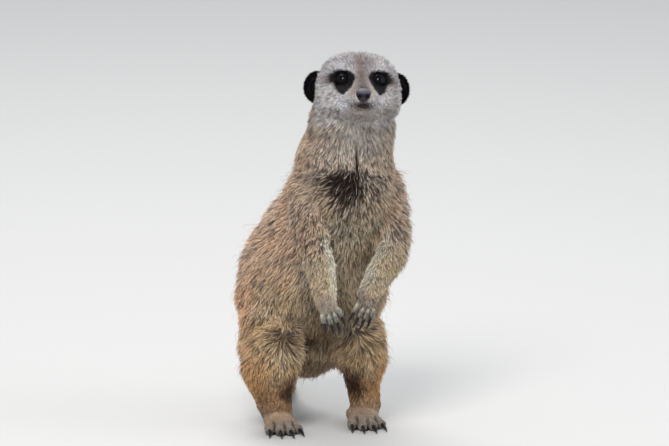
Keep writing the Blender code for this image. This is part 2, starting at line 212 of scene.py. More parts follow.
def near_digit(body, name):
    """For each point: offset from the paw's nearest digit, how far along it (0 to 1), and how much nearer it is than
    the next digit."""
    lines, _ = PAWS[name]
    far, offset, share = [], [], []
    for line in lines:
        along, place, _ = on_line(body, line)
        whole = size_of(np.diff(line, axis=0)).sum()
        offset.append(body - place)
        far.append(size_of(offset[-1]))
        share.append(along / whole)
    order = np.argsort(far, axis=0)
    rows = np.arange(len(body))
    far, offset, share = np.array(far), np.array(offset), np.array(share)
    return offset[order[0], rows], share[order[0], rows], far[order[1], rows] - far[order[0], rows]


def ripple(points, scale, seed, waves=7):
    """Smooth noise between about -1 and 1, with features about that many mm across."""
    rng = np.random.default_rng(seed)
    total = np.zeros(len(points))
    for _ in range(waves):
        direction = unit(rng.normal(size=3)) * (2 * math.pi / scale) * rng.uniform(0.6, 1.5)
        total += np.cos(points @ direction + rng.uniform(0, 2 * math.pi))
    return total / math.sqrt(waves)


def srgb(*rgb):
    """A display colour, 0 to 255, as linear light."""
    c = np.array(rgb, float) / 255
    return np.where(c <= 0.04045, c / 12.92, ((c + 0.055) / 1.055) ** 2.4)


# ---------------- mesh helpers


def mesh_of(name, verts, tris):
    """A smooth mesh of triangles from arrays."""
    mesh = bpy.data.meshes.new(name)
    mesh.vertices.add(len(verts))
    mesh.vertices.foreach_set("co", np.ascontiguousarray(verts, np.float32).ravel())
    mesh.loops.add(len(tris) * 3)
    mesh.loops.foreach_set("vertex_index", np.ascontiguousarray(tris, np.int32).ravel())
    mesh.polygons.add(len(tris))
    mesh.polygons.foreach_set("loop_start", np.arange(0, len(tris) * 3, 3, dtype=np.int32))
    mesh.polygons.foreach_set("use_smooth", np.full(len(tris), True))
    mesh.update(calc_edges=True)
    return mesh


def object_of(name, mesh, body="root", look=None):
    made = bpy.data.objects.new(name, mesh)
    bpy.context.scene.collection.objects.link(made)
    if look:
        mesh.materials.clear()
        mesh.materials.append(look)
    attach(made, body)
    return made


def remeshed(mesh, voxel, smoothings):
    """The mesh rebuilt on a grid of voxels (mm) and smoothed that many times."""
    holder = bpy.data.objects.new("holder", mesh)
    bpy.context.scene.collection.objects.link(holder)
    grid = holder.modifiers.new("Remesh", "REMESH")
    grid.mode, grid.voxel_size = "VOXEL", voxel * MM
    ease = holder.modifiers.new("Smooth", "SMOOTH")
    ease.factor, ease.iterations = 0.5, smoothings
    bpy.context.view_layer.update()
    made = bpy.data.meshes.new_from_object(holder.evaluated_get(bpy.context.evaluated_depsgraph_get()))
    bpy.data.objects.remove(holder)
    return made


def positions(mesh):
    co = np.empty(len(mesh.vertices) * 3, np.float32)
    mesh.vertices.foreach_get("co", co)
    return co.reshape(-1, 3).astype(float)


def set_positions(mesh, co):
    mesh.vertices.foreach_set("co", np.ascontiguousarray(co, np.float32).ravel())
    mesh.update()


def triangles(mesh):
    mesh.calc_loop_triangles()
    tris = np.empty(len(mesh.loop_triangles) * 3, np.int32)
    mesh.loop_triangles.foreach_get("vertices", tris)
    return tris.reshape(-1, 3)


def vertex_normals(co, tris):
    flat = np.cross(co[tris[:, 1]] - co[tris[:, 0]], co[tris[:, 2]] - co[tris[:, 0]])
    total = np.zeros_like(co)
    for i in range(3):
        for axis in range(3):
            total[:, axis] += np.bincount(tris[:, i], flat[:, axis], len(co))
    return unit(total)


class Web:
    """The edges of a mesh, for spreading values between neighbouring vertices."""

    def __init__(self, mesh):
        edges = np.empty(len(mesh.edges) * 2, np.int32)
        mesh.edges.foreach_get("vertices", edges)
        edges = edges.reshape(-1, 2)
        self.a = np.concatenate([edges[:, 0], edges[:, 1]])
        self.b = np.concatenate([edges[:, 1], edges[:, 0]])
        self.count = len(mesh.vertices)
        self.valence = np.maximum(np.bincount(self.a, minlength=self.count), 1)

    def average(self, values):
        if values.ndim == 1:
            return np.bincount(self.a, values[self.b], self.count) / self.valence
        return np.stack([self.average(values[:, i]) for i in range(values.shape[1])], 1)

    def spread(self, values, times, share=0.5):
        for _ in range(times):
            values = values + share * (self.average(values) - values)
        return values


def joined(groups):
    """Groups of vertices, triangles and anything else by vertex, as one group."""
    starts = np.cumsum([0] + [len(group[0]) for group in groups])
    shifted = [(group[0], group[1] + start, *group[2:]) for group, start in zip(groups, starts)]
    return [np.concatenate(rows) for rows in zip(*shifted)]


def kd_tree(points, indices):
    """A search tree of the points of those indices."""
    tree = KDTree(len(indices))
    for i in indices:
        tree.insert(points[i], i)
    tree.balance()
    return tree


# ---------------- materials


def new_material(name):
    found = bpy.data.materials.new(name)
    found.use_nodes = True
    tree = found.node_tree
    return found, tree, tree.nodes["Principled BSDF"]


def put(holder, values):
    """Sets a node's inputs by name."""
    for key, value in values.items():
        holder.inputs[key].default_value = value


def node(tree, kind, values=None, **settings):
    """A new node with settings, and values for its inputs."""
    made = tree.nodes.new(kind)
    for key, value in settings.items():
        setattr(made, key, value)
    put(made, values or {})
    return made


def noise(tree, scale, detail=4.0):
    made = node(tree, "ShaderNodeTexNoise", {"Scale": scale, "Detail": detail, "Roughness": 0.6})
    coordinates = node(tree, "ShaderNodeTexCoord")
    tree.links.new(coordinates.outputs["Object"], made.inputs["Vector"])
    return made.outputs["Fac"]


def mapped(tree, source, low, high, out_low, out_high):
    limits = {"From Min": low, "From Max": high, "To Min": out_low, "To Max": out_high}
    made = node(tree, "ShaderNodeMapRange", limits)
    tree.links.new(source, made.inputs["Value"])
    return made.outputs["Result"]


def times(tree, colour, factor):
    """The colour socket times a grey factor socket."""
    made = node(tree, "ShaderNodeMix", {"Factor": 1}, data_type="RGBA", blend_type="MULTIPLY")
    tree.links.new(colour, made.inputs["A"])
    tree.links.new(factor, made.inputs["B"])
    return made.outputs["Result"]


def bump(tree, shader, height, strength, distance):
    made = node(tree, "ShaderNodeBump", {"Strength": strength, "Distance": distance})
    tree.links.new(height, made.inputs["Height"])
    tree.links.new(made.outputs["Normal"], shader.inputs["Normal"])


def attribute_material(name, roughness, grain, grain_depth, specular, height=0.0, values=None):
    """Coloured by the mesh's own Coat attribute, broken up by fine grain in colour and roughness, and duller where
    it is dark."""
    made, tree, shader = new_material(name)
    paint = node(tree, "ShaderNodeAttribute", attribute_name="Coat")
    fine = noise(tree, grain)
    shade = mapped(tree, fine, 0.25, 0.75, 1 - grain_depth, 1 + grain_depth)
    tree.links.new(times(tree, paint.outputs["Color"], shade), shader.inputs["Base Color"])
    rough = mapped(tree, fine, 0.2, 0.8, roughness - 0.08, min(roughness + 0.1, 1))
    tree.links.new(rough, shader.inputs["Roughness"])
    shine = mapped(tree, paint.outputs["Fac"], 0.0, 0.10, 0.1 * specular, specular)
    tree.links.new(shine, shader.inputs["Specular IOR Level"])
    put(shader, {"Sheen Roughness": 0.5, **(values or {})})
    if height:
        bump(tree, shader, fine, 0.7, height)
    return made


def mottled_material(name, scale, detail, stops, tones, roughness, relief, values):
    """Of two tones, mottled by a noise that also roughens and embosses it."""
    made, tree, shader = new_material(name)
    fine = noise(tree, scale, detail)
    ramp = node(tree, "ShaderNodeValToRGB")
    for element, stop, tone in zip(ramp.color_ramp.elements, stops, tones):
        element.position, element.color = stop, (*srgb(*tone), 1)
    tree.links.new(fine, ramp.inputs["Fac"])
    tree.links.new(ramp.outputs["Color"], shader.inputs["Base Color"])
    tree.links.new(mapped(tree, fine, 0.2, 0.8, *roughness), shader.inputs["Roughness"])
    bump(tree, shader, fine, *relief)
    put(shader, values)
    return made


def paint(mesh, colours):
    """Stores a linear colour for each vertex as the Coat attribute."""
    layer = mesh.color_attributes.new("Coat", "FLOAT_COLOR", "POINT")
    rgba = np.ones((len(colours), 4), np.float32)
    rgba[:, :3] = np.clip(colours, 0, 1)
    layer.data.foreach_set("color", rgba.ravel())


# ---------------- the skin

OUTLINE_GRAIN, SKIN_GRAIN = 1.3, 1.1  # mm
SWELL = 0.45  # how far the solids are swollen to fuse them, mm
LOWEST = 0.15 * MM  # of the skin, off the floor
FACE_BACK = -14  # the face is what lies before this, in the head's frame, mm


def nearest_parts(points):
    """The index in FLESH of the part whose solid is nearest to each point."""
    clouds, labels = [], []
    for index, name in enumerate(FLESH):
        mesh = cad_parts[name].data
        co = positions(mesh)
        corners = co[triangles(mesh)]
        clouds += [co, corners.mean(1), corners[:, :2].mean(1), corners[:, 1:].mean(1)]
        labels += [index] * sum(len(cloud) for cloud in clouds[-4:])
    cloud = np.concatenate(clouds)
    tree = kd_tree(cloud, range(len(cloud)))
    return np.array([labels[tree.find(p)[1]] for p in points])


def outline_mesh():
    """The furred outline as one closed, smooth surface: the flesh solids swollen shut and fused."""
    joint = bmesh.new()
    for name in FLESH:
        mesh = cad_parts[name].data.copy()
        co = positions(mesh)
        set_positions(mesh, co + vertex_normals(co, triangles(mesh)) * SWELL * MM)
        joint.from_mesh(mesh)
        bpy.data.meshes.remove(mesh)
    mesh = bpy.data.meshes.new("outline")
    joint.to_mesh(mesh)
    joint.free()
    return remeshed(mesh, OUTLINE_GRAIN, 10)


def face_depth(head):
    """The share of the coat's depth kept on the head: from 0.3 at the nose to 1.2 far from it."""
    away = size_of(head - (0, -48, -10))
    return 0.3 + 0.9 * smooth(6, 62, away)


def sink(mesh):
    """Moves the outline in by the coat's depth, less so near the floor."""
    co = positions(mesh)
    web = Web(mesh)
    labels = nearest_parts(co)
    depth = web.spread(COAT_TABLE[labels, 0], 90)
    on_head = web.spread((labels == 0).astype(float), 40)
    depth *= 1 + on_head * (face_depth(in_head(co)) - 1)
    normals = unit(web.spread(vertex_normals(co, triangles(mesh)), 12))
    share = np.where(co[:, 2] < 12 * MM, 0.35 + 0.65 * smooth(0.6 * MM, 4 * MM, co[:, 2]), 1)
    moved = co - normals * (depth * MM * share)[:, None]
    moved[:, 2] = np.maximum(moved[:, 2], LOWEST)
    set_positions(mesh, moved)
    return mesh


EYE_FACING = unit(np.array((0.50, -0.82, 0.30)))
EYE_BALL = 6.2  # its radius, mm
EYE_SET_BACK = 0.9  # how much deeper than its solid the ball sits
LID_LONG, LID_HIGH = 4.5, 3.5  # half the opening's length and height
LID_TILT = math.radians(14)  # the inner corner is the lower one


def eye_axes(side):
    """The eye's outward direction, the opening's long axis (outward) and its short one (up), in the head's frame."""
    facing = EYE_FACING * (side, 1, 1)
    outward = unit(np.cross((0, 0, 1.0), facing)) * side
    up = unit(np.cross(facing, outward)) * side
    long_axis = outward * math.cos(LID_TILT) + up * math.sin(LID_TILT)
    high_axis = up * math.cos(LID_TILT) - outward * math.sin(LID_TILT)
    return facing, long_axis, high_axis


def eye_place(head, side):
    """Coordinates about an eye's opening: along it (outward), across it (up) and out of it, in mm."""
    facing, long_axis, high_axis = eye_axes(side)
    offset = head - EYE * (side, 1, 1)
    return offset @ long_axis, offset @ high_axis, offset @ facing


def eye_ring(head, side, wider=0.0, higher=0.0):
    """How far out from an eye's middle, 1 at the opening's edge, and how far out of the face, in mm."""
    along, across, deep = eye_place(head, side)
    return np.sqrt((along / (LID_LONG + wider)) ** 2 + (across / (LID_HIGH + higher)) ** 2), deep


def eye_centre(side):
    return EYE * (side, 1, 1) - eye_axes(side)[0] * EYE_SET_BACK


MOUTH = ((-12.5, -34, -10.8), (-9, -40.5, -13.6), (-5, -45.6, -15.8), (0, -48, -16.6), (5, -45.6, -15.8),
         (9, -40.5, -13.6), (12.5, -34, -10.8))


def mouth_gap(head):
    """Distance from the line of the mouth, in mm."""
    _, place, _ = on_line(head, MOUTH)
    return size_of(head - place)


def sculpt_face(mesh):
    """Sockets, brow, lips, philtrum, haunches and the throat's parting on the skin."""
    co = positions(mesh)
    normals = vertex_normals(co, triangles(mesh))
    head, body = in_head(co), in_body(co)
    out, moved = np.zeros(len(co)), np.zeros((len(co), 3))
    for side in (-1, 1):
        along, across, deep = eye_place(head, side)
        ring, _ = eye_ring(head, side)
        front = smooth(-1, 1, deep)
        rim = np.sqrt(EYE_BALL**2 - (along**2 + across**2) / np.maximum(ring, 0.5) ** 2 * 0.85) - EYE_SET_BACK
        floor = rim - 0.35 - 2.2 * smooth(1.0, 0.5, ring)
        low = np.minimum(floor - deep, 0) * smooth(2.3, 1.3, ring) * front
        moved += low[:, None] * eye_axes(side)[0]
        out += 0.6 * bell(ring - 2.0, 0.4) * front * smooth(-1, 3, across)
        out += 1.1 * near(head, (side * 9.5, -38, -11.5), (4.5, 7, 3.5))
        out -= 1.6 * near(head, (side * 17, -27, -13.5), (5, 9, 5))
        out -= 1.0 * near(head, (side * 11, -36, -3.5), (3.5, 7, 4))
        out += 2.4 * near(body, (side * 36, 34, 88), (22, 24, 9))
    x, y, z = head.T
    out -= 0.7 * bell(mouth_gap(head), 0.8) * smooth(-20, -30, y)
    split = bell(x, 0.5) * smooth(-45, -47, y) * smooth(-17.5, -16.5, z)
    out -= 0.5 * split * smooth(-11.5, -12.5, z)
    out -= 2.6 * near(head, (0, -38, -26), (14, 12, 2.4))
    out += 2.4 * near(body, (-60, 18, 97), (18, 30, 8)) - 4.6 * near(body, (-62, 5, 78), (18, 34, 15))
    height = body[:, 2]
    groove = bell(parting(body), 1.6) * smooth(PARTING_TOP + 3, PARTING_TOP - 3, height)
    out -= 1.6 * groove * smooth(PARTING_FOOT - 4, PARTING_FOOT + 3, height) * smooth(0.2, 0.6, -normals[:, 1])
    set_positions(mesh, co + (normals * out[:, None] + moved @ HEAD_AXES.T) * MM)


def sculpt_paws(mesh):
    """Rounds the skin onto each digit and creases it between them."""
    co = positions(mesh)
    body = in_body(co)
    normals = vertex_normals(co, triangles(mesh))
    for name, (_, radius) in PAWS.items():
        offset, share, lead = near_digit(body, name)
        far = size_of(offset)
        hold = smooth(0.02, 0.45, share) * smooth(radius * 2.4, radius * 1.7, far)
        step = np.clip(radius - far, -1.8, 1.8) * hold
        body += unit(offset) * step[:, None]
        body -= normals * (0.9 * bell(lead, 0.8) * hold)[:, None]
    moved = from_body(body)
    moved[:, 2] = np.maximum(moved[:, 2], LOWEST)
    set_positions(mesh, moved)


def refine(mesh, chosen):
    """Splits the edges whose both ends are chosen."""
    work = bmesh.new()
    work.from_mesh(mesh)
    work.verts.ensure_lookup_table()
    picked = set(np.nonzero(chosen)[0].tolist())
    edges = [e for e in work.edges if e.verts[0].index in picked and e.verts[1].index in picked]
    bmesh.ops.subdivide_edges(work, edges=edges, cuts=1, use_grid_fill=True)
    work.to_mesh(mesh)
    work.free()
    mesh.update()


def build_skin():
    mesh = remeshed(sink(outline_mesh()), SKIN_GRAIN, 6)
    head, body = in_head(positions(mesh)), in_body(positions(mesh))
    fine = (head[:, 1] < FACE_BACK) & (head[:, 2] > -32) & (np.abs(head[:, 0]) < 30)
    for name, (_, radius) in PAWS.items():
        offset, share, _ = near_digit(body, name)
        fine |= (size_of(offset) < radius * 2.2) & (share > 0.02)
    refine(mesh, fine)
    co = positions(mesh)
    head = in_head(co)
    front = smooth(-10, -18, head[:, 1])[:, None] * smooth(-34, -28, head[:, 2])[:, None]
    set_positions(mesh, co + (Web(mesh).spread(co, 6) - co) * front)
    sculpt_face(mesh)
    sculpt_paws(mesh)
    mesh.shade_smooth()
    return mesh


# ---------------- markings

C = {name: srgb(*rgb) for name, rgb in {
    "back": (192, 164, 143), "rump": (192, 150, 122), "flank": (206, 174, 148), "haunch": (190, 166, 134),
    "belly": (172, 157, 134), "belly_low": (140, 123, 98), "chest": (184, 168, 152), "chest_dark": (40, 32, 29),
    "throat": (198, 190, 178), "neck": (174, 158, 144), "crown": (163, 159, 160), "brow": (114, 102, 98),
    "cheek": (194, 189, 187), "muzzle": (178, 174, 175), "bridge": (90, 78, 73), "chin": (190, 183, 176),
    "patch": (7, 6, 8), "smudge": (104, 80, 66), "lip": (46, 36, 32), "painted_face_shade": (128, 120, 116),
    "white": (238, 236, 240), "tear": (35, 31, 34), "finger": (84, 78, 76), "upper_arm": (169, 150, 132),
    "forearm": (182, 166, 141), "inner_arm_and_painted_light": (212, 204, 184), "hand": (158, 147, 132), "crease": (30, 26, 26),
    "knee": (64, 50, 42), "thigh": (194, 165, 128), "shank": (204, 162, 120), "rust": (198, 147, 97),
    "inner_leg_and_painted_shade": (86, 61, 45), "foot": (140, 120, 101), "toe": (128, 119, 110), "band": (118, 94, 76),
    "tail": (180, 150, 116), "tail_tip": (30, 24, 22),
}.items()}

BAND_STEP = 15  # mm between the dark bands of the back
TEAR_DROP = 12.8  # how far the eye patches reach down, mm
CHEST_BLOTS = (
    (1.15, (7, -58, 206), (9, 18, 11)), (0.65, (-6, -55, 207), (15, 18, 8)), (0.75, (2, -56, 195), (18, 16, 10)),
    (0.5, (27, -50, 203), (11, 14, 9)), (0.3, (6, -56, 184), (24, 18, 14)),
)


def markings(points, normals, weights, dice=None):
    """The coat's colour at points of the skin, from what each part of the animal wears. With dice, a number from 0 to
    1 for each point, the strongest markings are mixed hair by hair and not blended."""
    body, head = in_body(points), in_head(points)
    x, _, z = body.T
    nx, ny = normals[:, 0], normals[:, 1]
    colour = np.repeat(C["back"][None], len(points), 0)

    def wear(name, share, hairs=0.0):
        share = np.clip(share, 0, 1)
        if dice is not None and hairs:
            share = share + hairs * (smooth(dice - 0.12, dice + 0.12, share) - share)
        share = share[:, None]
        colour[:] = colour * (1 - share) + C[name] * share

    def on(*names):
        return share_of(weights, *names)

    def pair(part):
        return pair_share(weights, part)

    front = smooth(0.1, 0.72, -ny)
    right = x < 0
    trunk = on("trunk")
    wear("flank", smooth(-0.1, 0.5, -ny) * 0.8)
    wear("rump", smooth(135, 95, z) * (1 - front) * 0.9)
    stripe = 0.5 + 0.5 * np.cos((z - 150 + 3 * ripple(body, 45, 5)) * 2 * math.pi / BAND_STEP)
    wear("band", smooth(0.25, 0.8, ny) * smooth(0.45, 0.85, stripe) * smooth(215, 200, z) * 0.75
         * smooth(0.3, 0.6, on("trunk", "neck")))
    wear("haunch", near(body, (-34, -10, 104), (20, 26, 20)) + near(body, (34, -12, 100), (14, 24, 18)))
    belly = trunk * smooth(0.35, 0.8, -ny) * smooth(-34, -12, x) * smooth(48, 34, x)
    wear("belly", belly)
    wear("belly_low", belly * smooth(128, 100, z) * 0.9)
    wear("chest", on("trunk", "neck") * front * smooth(178, 196, z) * smooth(226, 216, z) * 0.9)
    nape = smooth(200, 258, z + 5 * ripple(body, 14, 9))
    wear("neck", on("neck", "head") * (nape * (1 - front) + smooth(214, 226, z) * 0.6 * front))
    wear("throat", on("neck", "head") * smooth(214, 230, z) * front * bell(x - 11, 26) * 0.95)
    dark = sum(share * near(body, centre, size) for share, centre, size in CHEST_BLOTS)
    wear("chest_dark", dark * (0.9 + 0.3 * ripple(body, 7, 3)), 0.85)
    wear("chest_dark", bell(parting(body), 1.5) * smooth(PARTING_TOP + 3, PARTING_TOP - 3, z)
         * smooth(PARTING_FOOT - 8, PARTING_FOOT, z) * front * on("neck", "head", "trunk") * 1.4)

    arms, fore = pair("upper_arm"), pair("forearm")
    wear("upper_arm", arms * (0.75 + 0.25 * ripple(body, 14, 8)))
    wear("forearm", fore + arms * smooth(160, 138, z) * 0.8)
    # Paler inner side of the arms: partly the paler fur there, partly painted light on the lit edge, stronger on the
    # right arm, on the key light's side.
    wear("inner_arm_and_painted_light", (fore + arms * 0.9) * smooth(0.15, 0.75, nx * np.where(right, 1, -1))
         * smooth(184, 160, z) * np.where(right, 0.95, 0.6))
    wear("hand", pair("hand"))
    wear("finger", on("left_hand") * 0.45, 0.8)

    for name, side in SIDES.items():
        leg = on(f"{name}_thigh", f"{name}_shank")
        wear("thigh", leg * smooth(104, 86, z) * (0.5 + 0.5 * front))
        wear("shank", leg * smooth(60, 36, z))
        wear("rust", leg * smooth(0.1, 0.75, nx * side) * smooth(78, 50, z) * smooth(-0.4, 0.3, -ny) * 0.7)
        wear("inner_leg_and_painted_shade", leg * smooth(0.0, 0.7, -nx * side) * smooth(62, 42, z), 0.6)
        wear("inner_leg_and_painted_shade", leg * smooth(34, 20, z) * smooth(7, 14, z) * 0.55, 0.6)
        wear("knee", near(body, KNEES[side] + (0, 0, 1), (8.5, 12, 8.0)) * (1.0 if side < 0 else 0.65), 0.6)
    # Darker between the knees.
    wear("inner_leg_and_painted_shade", near(body, (-4, -18, 76), (9, 16, 17)) * 0.7, 0.5)
    # Painted shadow on the trunk between the right arm and the flank.
    wear("inner_leg_and_painted_shade", trunk * near(body, (-29, -44, 138), (6, 22, 20)) * 0.5, 0.6)
    # Painted shadow on the lower belly between the hands.
    wear("inner_leg_and_painted_shade", near(body, (-3, -38, 97), (11, 18, 10)) * 0.6, 0.6)
    wear("foot", pair("foot"))
    wear("rust", pair("foot") * smooth(12, 20, z) * 0.5)
    for name in PAWS:
        offset, share, lead = near_digit(body, name)
        grip = on(name) * smooth(8, 5, size_of(offset))
        wear("toe", grip * smooth(0.3, 0.7, share) * 0.8)
        if name in ("right_hand", "left_hand"):
            # Painted highlight: the digits made paler.
            wear("inner_arm_and_painted_light", grip * smooth(0.15, 0.4, share) * 0.5)
            back = bell(size_of(offset * (1, 0.3, 0.3)), 1.3)
            wear("finger", grip * smooth(0.25, 0.6, share) * back)
            wear("finger", grip * smooth(0.7, 1.0, share) * 0.9)
        # Painted shade in the creases between the digits.
        wear("crease", grip * bell(lead, 1.1) * smooth(0.2, 0.5, share))

    tail = on("tail_base", "tail_end")
    wear("tail", tail)
    wear("tail_tip", tail * smooth(128, 156, on_line(body, LINES["tail"])[0]))

    hx, hy, hz = head.T
    mirrored = columns(np.abs(hx), hy, hz)
    skull = on("head")
    face = skull * smooth(8, -4, hy)
    wear("crown", skull * smooth(-10, 4, hz + 3 * ripple(body, 12, 10)) * smooth(30, -2, hy))
    wear("brow", face * bell(hx, 8.0) * smooth(1, 7, hz) * smooth(30, 18, hz) * 0.9)
    wear("smudge", face * bell(hx, 1.5) * smooth(2, 7, hz) * smooth(24, 14, hz) * 0.5)
    wear("cheek", face * smooth(4, -6, hz) * smooth(-33, -22, hz) * smooth(7, 12, mirrored[:, 0]))
    wear("white", face * near(mirrored, (14.5, -26, 13.6), (5.5, 9, 3.4)) * 0.3, 0.3)
    # Painted light and shade: the right cheek, on the key light's side, made paler, and the left cheek made darker.
    wear("white", face * near(head, (-24, -20, -10), (9, 12, 9)) * 0.3)
    wear("painted_face_shade", face * near(head, (24, -20, -8), (9, 12, 9)) * 0.2)
    wear("bridge", face * bell(hx, 6.0) * smooth(-12, -6, hz) * smooth(12, 2, hz) * smooth(-16, -26, hy))
    wear("muzzle", face * smooth(-30, -36, hy) * smooth(-7, -11, hz) * 0.9)
    wear("white", face * near(head, (-12.5, -34, -14.5), (8.5, 10, 4.2)) * 1.3, 0.2)
    wear("white", face * near(head, (14.5, -33, -12.0), (7.5, 10, 4.0)) * 1.2, 0.2)
    wear("chin", face * smooth(-17.5, -19.5, hz) * smooth(14, 9, mirrored[:, 0]) * 0.9)
    frontal = face * smooth(-8, -14, hy)
    v = hz - 4.2
    drop = np.clip(-v / TEAR_DROP, 0, 1)
    taper = np.maximum(7.2 * (1 - drop**2.4), 0.1)
    for side in (-1, 1):
        h = hx * side - 13.6
        wear("smudge", frontal * np.exp(-(((h - 9.5) / 4.2) ** 2 + ((v + 0.8) / 3.0) ** 2) ** 1.5) * 0.7)
        top = 1 - smooth(0.88, 1.1, np.sqrt(((h - 0.6) / 9.2) ** 2 + ((v - 0.5) / 6.2) ** 2))
        tear = 1 - smooth(0.85, 1.12, np.abs(h + 0.7 - 1.4 * drop) / taper)
        tear = tear * smooth(1, -1, v) * smooth(-TEAR_DROP, -12.0, v)
        wear("tear", frontal * np.maximum(top, tear))
        wear("patch", frontal * np.maximum(top, tear * smooth(-8, -4, v)) * (1 - 0.55 * smooth(4.5, 8, h)))
    wear("lip", face * bell(mouth_gap(head), 1.3) * smooth(-33, -43, hy) * 0.9)
    wear("lip", face * near(head, (0, -45.5, -16.6), (7.6, 8, 3.2)) * 1.3, 0.6)
    # Painted shade in the hollow between the muzzle and the cheeks, on both sides.
    wear("painted_face_shade", face * near(mirrored, (20, -24, -19.0), (8, 9, 3.6)) * 0.6, 0.4)
    # Painted shadow under the chin.
    wear("painted_face_shade", skull * near(head, (0, -38, -25.5), (13, 12, 2.2)) * 0.6, 0.3)

    patchy = 1 + 0.07 * ripple(body, 22, 11) + 0.05 * ripple(body, 8, 12) * (1 - 0.6 * skull)
    warm = ripple(body, 30, 13)[:, None] * np.array((0.03, 0, -0.04)) * (1 - skull[:, None] * 0.7)
    return np.clip(colour * patchy[:, None] * (1 + warm), 0.002, 1)


# ---------------- how the fur lies


def swirl(away, turn, normals):
    """Ways out of the middle of a whorl, turned round it by that share and fading at its middle."""
    return unit(away + turn * np.cross(away, normals)) * smooth(0, 9, size_of(away))[:, None]


def fur_flow(points, normals, weights):
    """The way the fur points at each place on the skin, along its surface."""
    body, head = in_body(points), in_head(points)
    x, _, z = body.T

    def on(*names):
        return share_of(weights, *names)[:, None]

    down = np.array((0, 0, -1.0))
    spine = on_line(body, LINES["trunk"])[2]
    outward = normals * (1, 1, 0)
    whorl = swirl((body - CHEST_WHORL) * (1, 0.4, 1), 0.3, normals)
    pull = near(body, CHEST_WHORL - (0, 0, 20), (48, 42, 44))[:, None] * smooth(222, 208, z)[:, None]
    trunk = spine + 0.25 * outward + 2.6 * pull * whorl
    trunk = trunk + 0.35 * smooth(0.2, 0.8, -normals[:, 1])[:, None] * columns(np.sign(x - 4) * 0.6, 0, 0)
    aside = parting(body)
    toward = -np.tanh(aside / 4) * bell(aside, 17) * smooth(210, 220, z)
    throat = spine + columns(toward * 0.55 * smooth(0, 0.6, -normals[:, 1]), 0, 0) + 0.2 * outward
    throat = throat + 2.0 * pull * whorl
    total = on("trunk") * trunk + on("neck") * throat

    for name, side in SIDES.items():
        along = on_line(body, LINES[f"{name}_arm"])[2]
        lateral = np.array((side * 0.8, 0.2, -0.25))
        total += on(f"{name}_upper_arm") * (along + 0.55 * lateral)
        total += on(f"{name}_forearm") * (along * 0.75 + 0.6 * lateral)
        total += on(f"{name}_hand") * (along + 0.1 * lateral)
        along = on_line(body, LINES[f"{name}_leg"])[2]
        knee = KNEES[side]
        fan = swirl((body - knee) * (1, 0.5, 1), 0.35 * side, normals)
        pull_knee = near(body, knee - (0, 0, 5), (18, 26, 18))[:, None] * smooth(15, 6, z - knee[2])[:, None]
        total += on(f"{name}_thigh") * (down + np.array((0, 0.1, 0)) + 3.2 * pull_knee * fan)
        total += on(f"{name}_shank") * (down + 2.2 * pull_knee * fan + 0.12 * outward)
        total += on(f"{name}_foot") * (along + 0.05 * down)
    total += on("tail_base", "tail_end") * on_line(body, LINES["tail"])[2]

    hx, hy, hz = head.T
    back = unit(head - (0, -50, -7)) + columns(0, 0.25, -0.35 * smooth(-2, -16, hz))
    over = smooth(10, 22, hz)[:, None] * smooth(-24, -10, hy)[:, None]
    mane = back * (1 - over) + columns(hx * 0.012, 1, 0) * over
    total += on("head") * (mane @ HEAD_AXES.T)
    return laid_flat(total, normals)


# ---------------- the coat

BENT_SHARE = {"head": 0.22, "trunk": 0.6, "hand": 0, "foot": 0}  # the share of tufts with a bend; half elsewhere
PATCH = 0.003  # size of a tuft's patch on the OFBake map
TUFTS = 212000
GUARD_SHARE = 0.022  # of the long fur, longer and thinner hairs that stand off
LEADERS_ON_HEAD, LEADERS = 0.15, 0.23  # the share of tufts that others gather to, in locks
SOLE = 1.0 * MM  # no fur grows lower than this
TUFT_LOWEST = 0.4 * MM  # of the tufts, off the floor


def tuft_mesh(spine, side, ridge, half, paints, home):
    """Closed, three-sided tapering tufts along spines: their vertices, triangles, colours and map places."""
    count, rings = len(spine), spine.shape[1] - 1
    profile = np.array((1.0, 0.86, 0.7)[:rings])
    half = (half[:, None] * profile)[:, :, None]
    c, s, m = spine[:, :rings], side[:, :rings] * half, ridge[:, :rings] * half * 0.75
    ring = np.stack([c + m, c + s - m * 0.3, c - s - m * 0.3], 2)
    verts = np.concatenate([ring.reshape(count, rings * 3, 3), spine[:, -1:]], 1)
    per = rings * 3 + 1
    faces = [(0, 2, 1)]
    for k in range(rings - 1):
        for j in range(3):
            n = (j + 1) % 3
            faces += [(3 * k + j, 3 * k + n, 3 * k + 3 + n), (3 * k + j, 3 * k + 3 + n, 3 * k + 3 + j)]
    for j in range(3):
        faces.append((3 * (rings - 1) + j, 3 * (rings - 1) + (j + 1) % 3, per - 1))
    tris = (np.array(faces)[None] + (np.arange(count) * per)[:, None, None]).reshape(-1, 3)
    colours = np.concatenate([np.repeat(paints[:, :rings], 3, 1), paints[:, -1:]], 1)
    local = np.zeros((per, 2))
    for k in range(rings):
        local[3 * k : 3 * k + 3, 0] = (PATCH / 2, PATCH, 0)
        local[3 * k : 3 * k + 3, 1] = PATCH * k / rings
    local[-1] = (PATCH / 2, PATCH)
    uv = home[:, None] + local[None]
    return verts.reshape(-1, 3), tris, colours.reshape(-1, 3), uv.reshape(-1, 2)


def tuft_object(name, groups, look):
    """One mesh of groups of tufts."""
    verts, tris, colours, places = joined(groups)
    mesh = mesh_of(name, verts, tris)
    paint(mesh, colours)
    layer = mesh.uv_layers.new(name="OFBake")
    layer.data.foreach_set("uv", np.ascontiguousarray(places[tris.ravel()], np.float32).ravel())
    return object_of(name, mesh, look=look)


def shade_skin(mesh, web, co, normals, weights, colours):
    """Paints the skin darker than the coat over it: the undercoat's own darker tone and painted shade under the fur.
    Not on the paws, where it is darkest between the digits: painted shade in their hollows.
    """
    hollow = web.spread(((web.average(co) - co) * normals).sum(1) / MM, 2)
    paws = pair_share(weights, "hand", "foot")
    shade = 0.55 + 0.33 * np.clip(share_of(weights, "head"), 0, 1) + 0.38 * paws
    shade = shade * (1 - paws * np.clip(hollow * 10, 0, 0.5))
    paint(mesh, colours * shade[:, None])


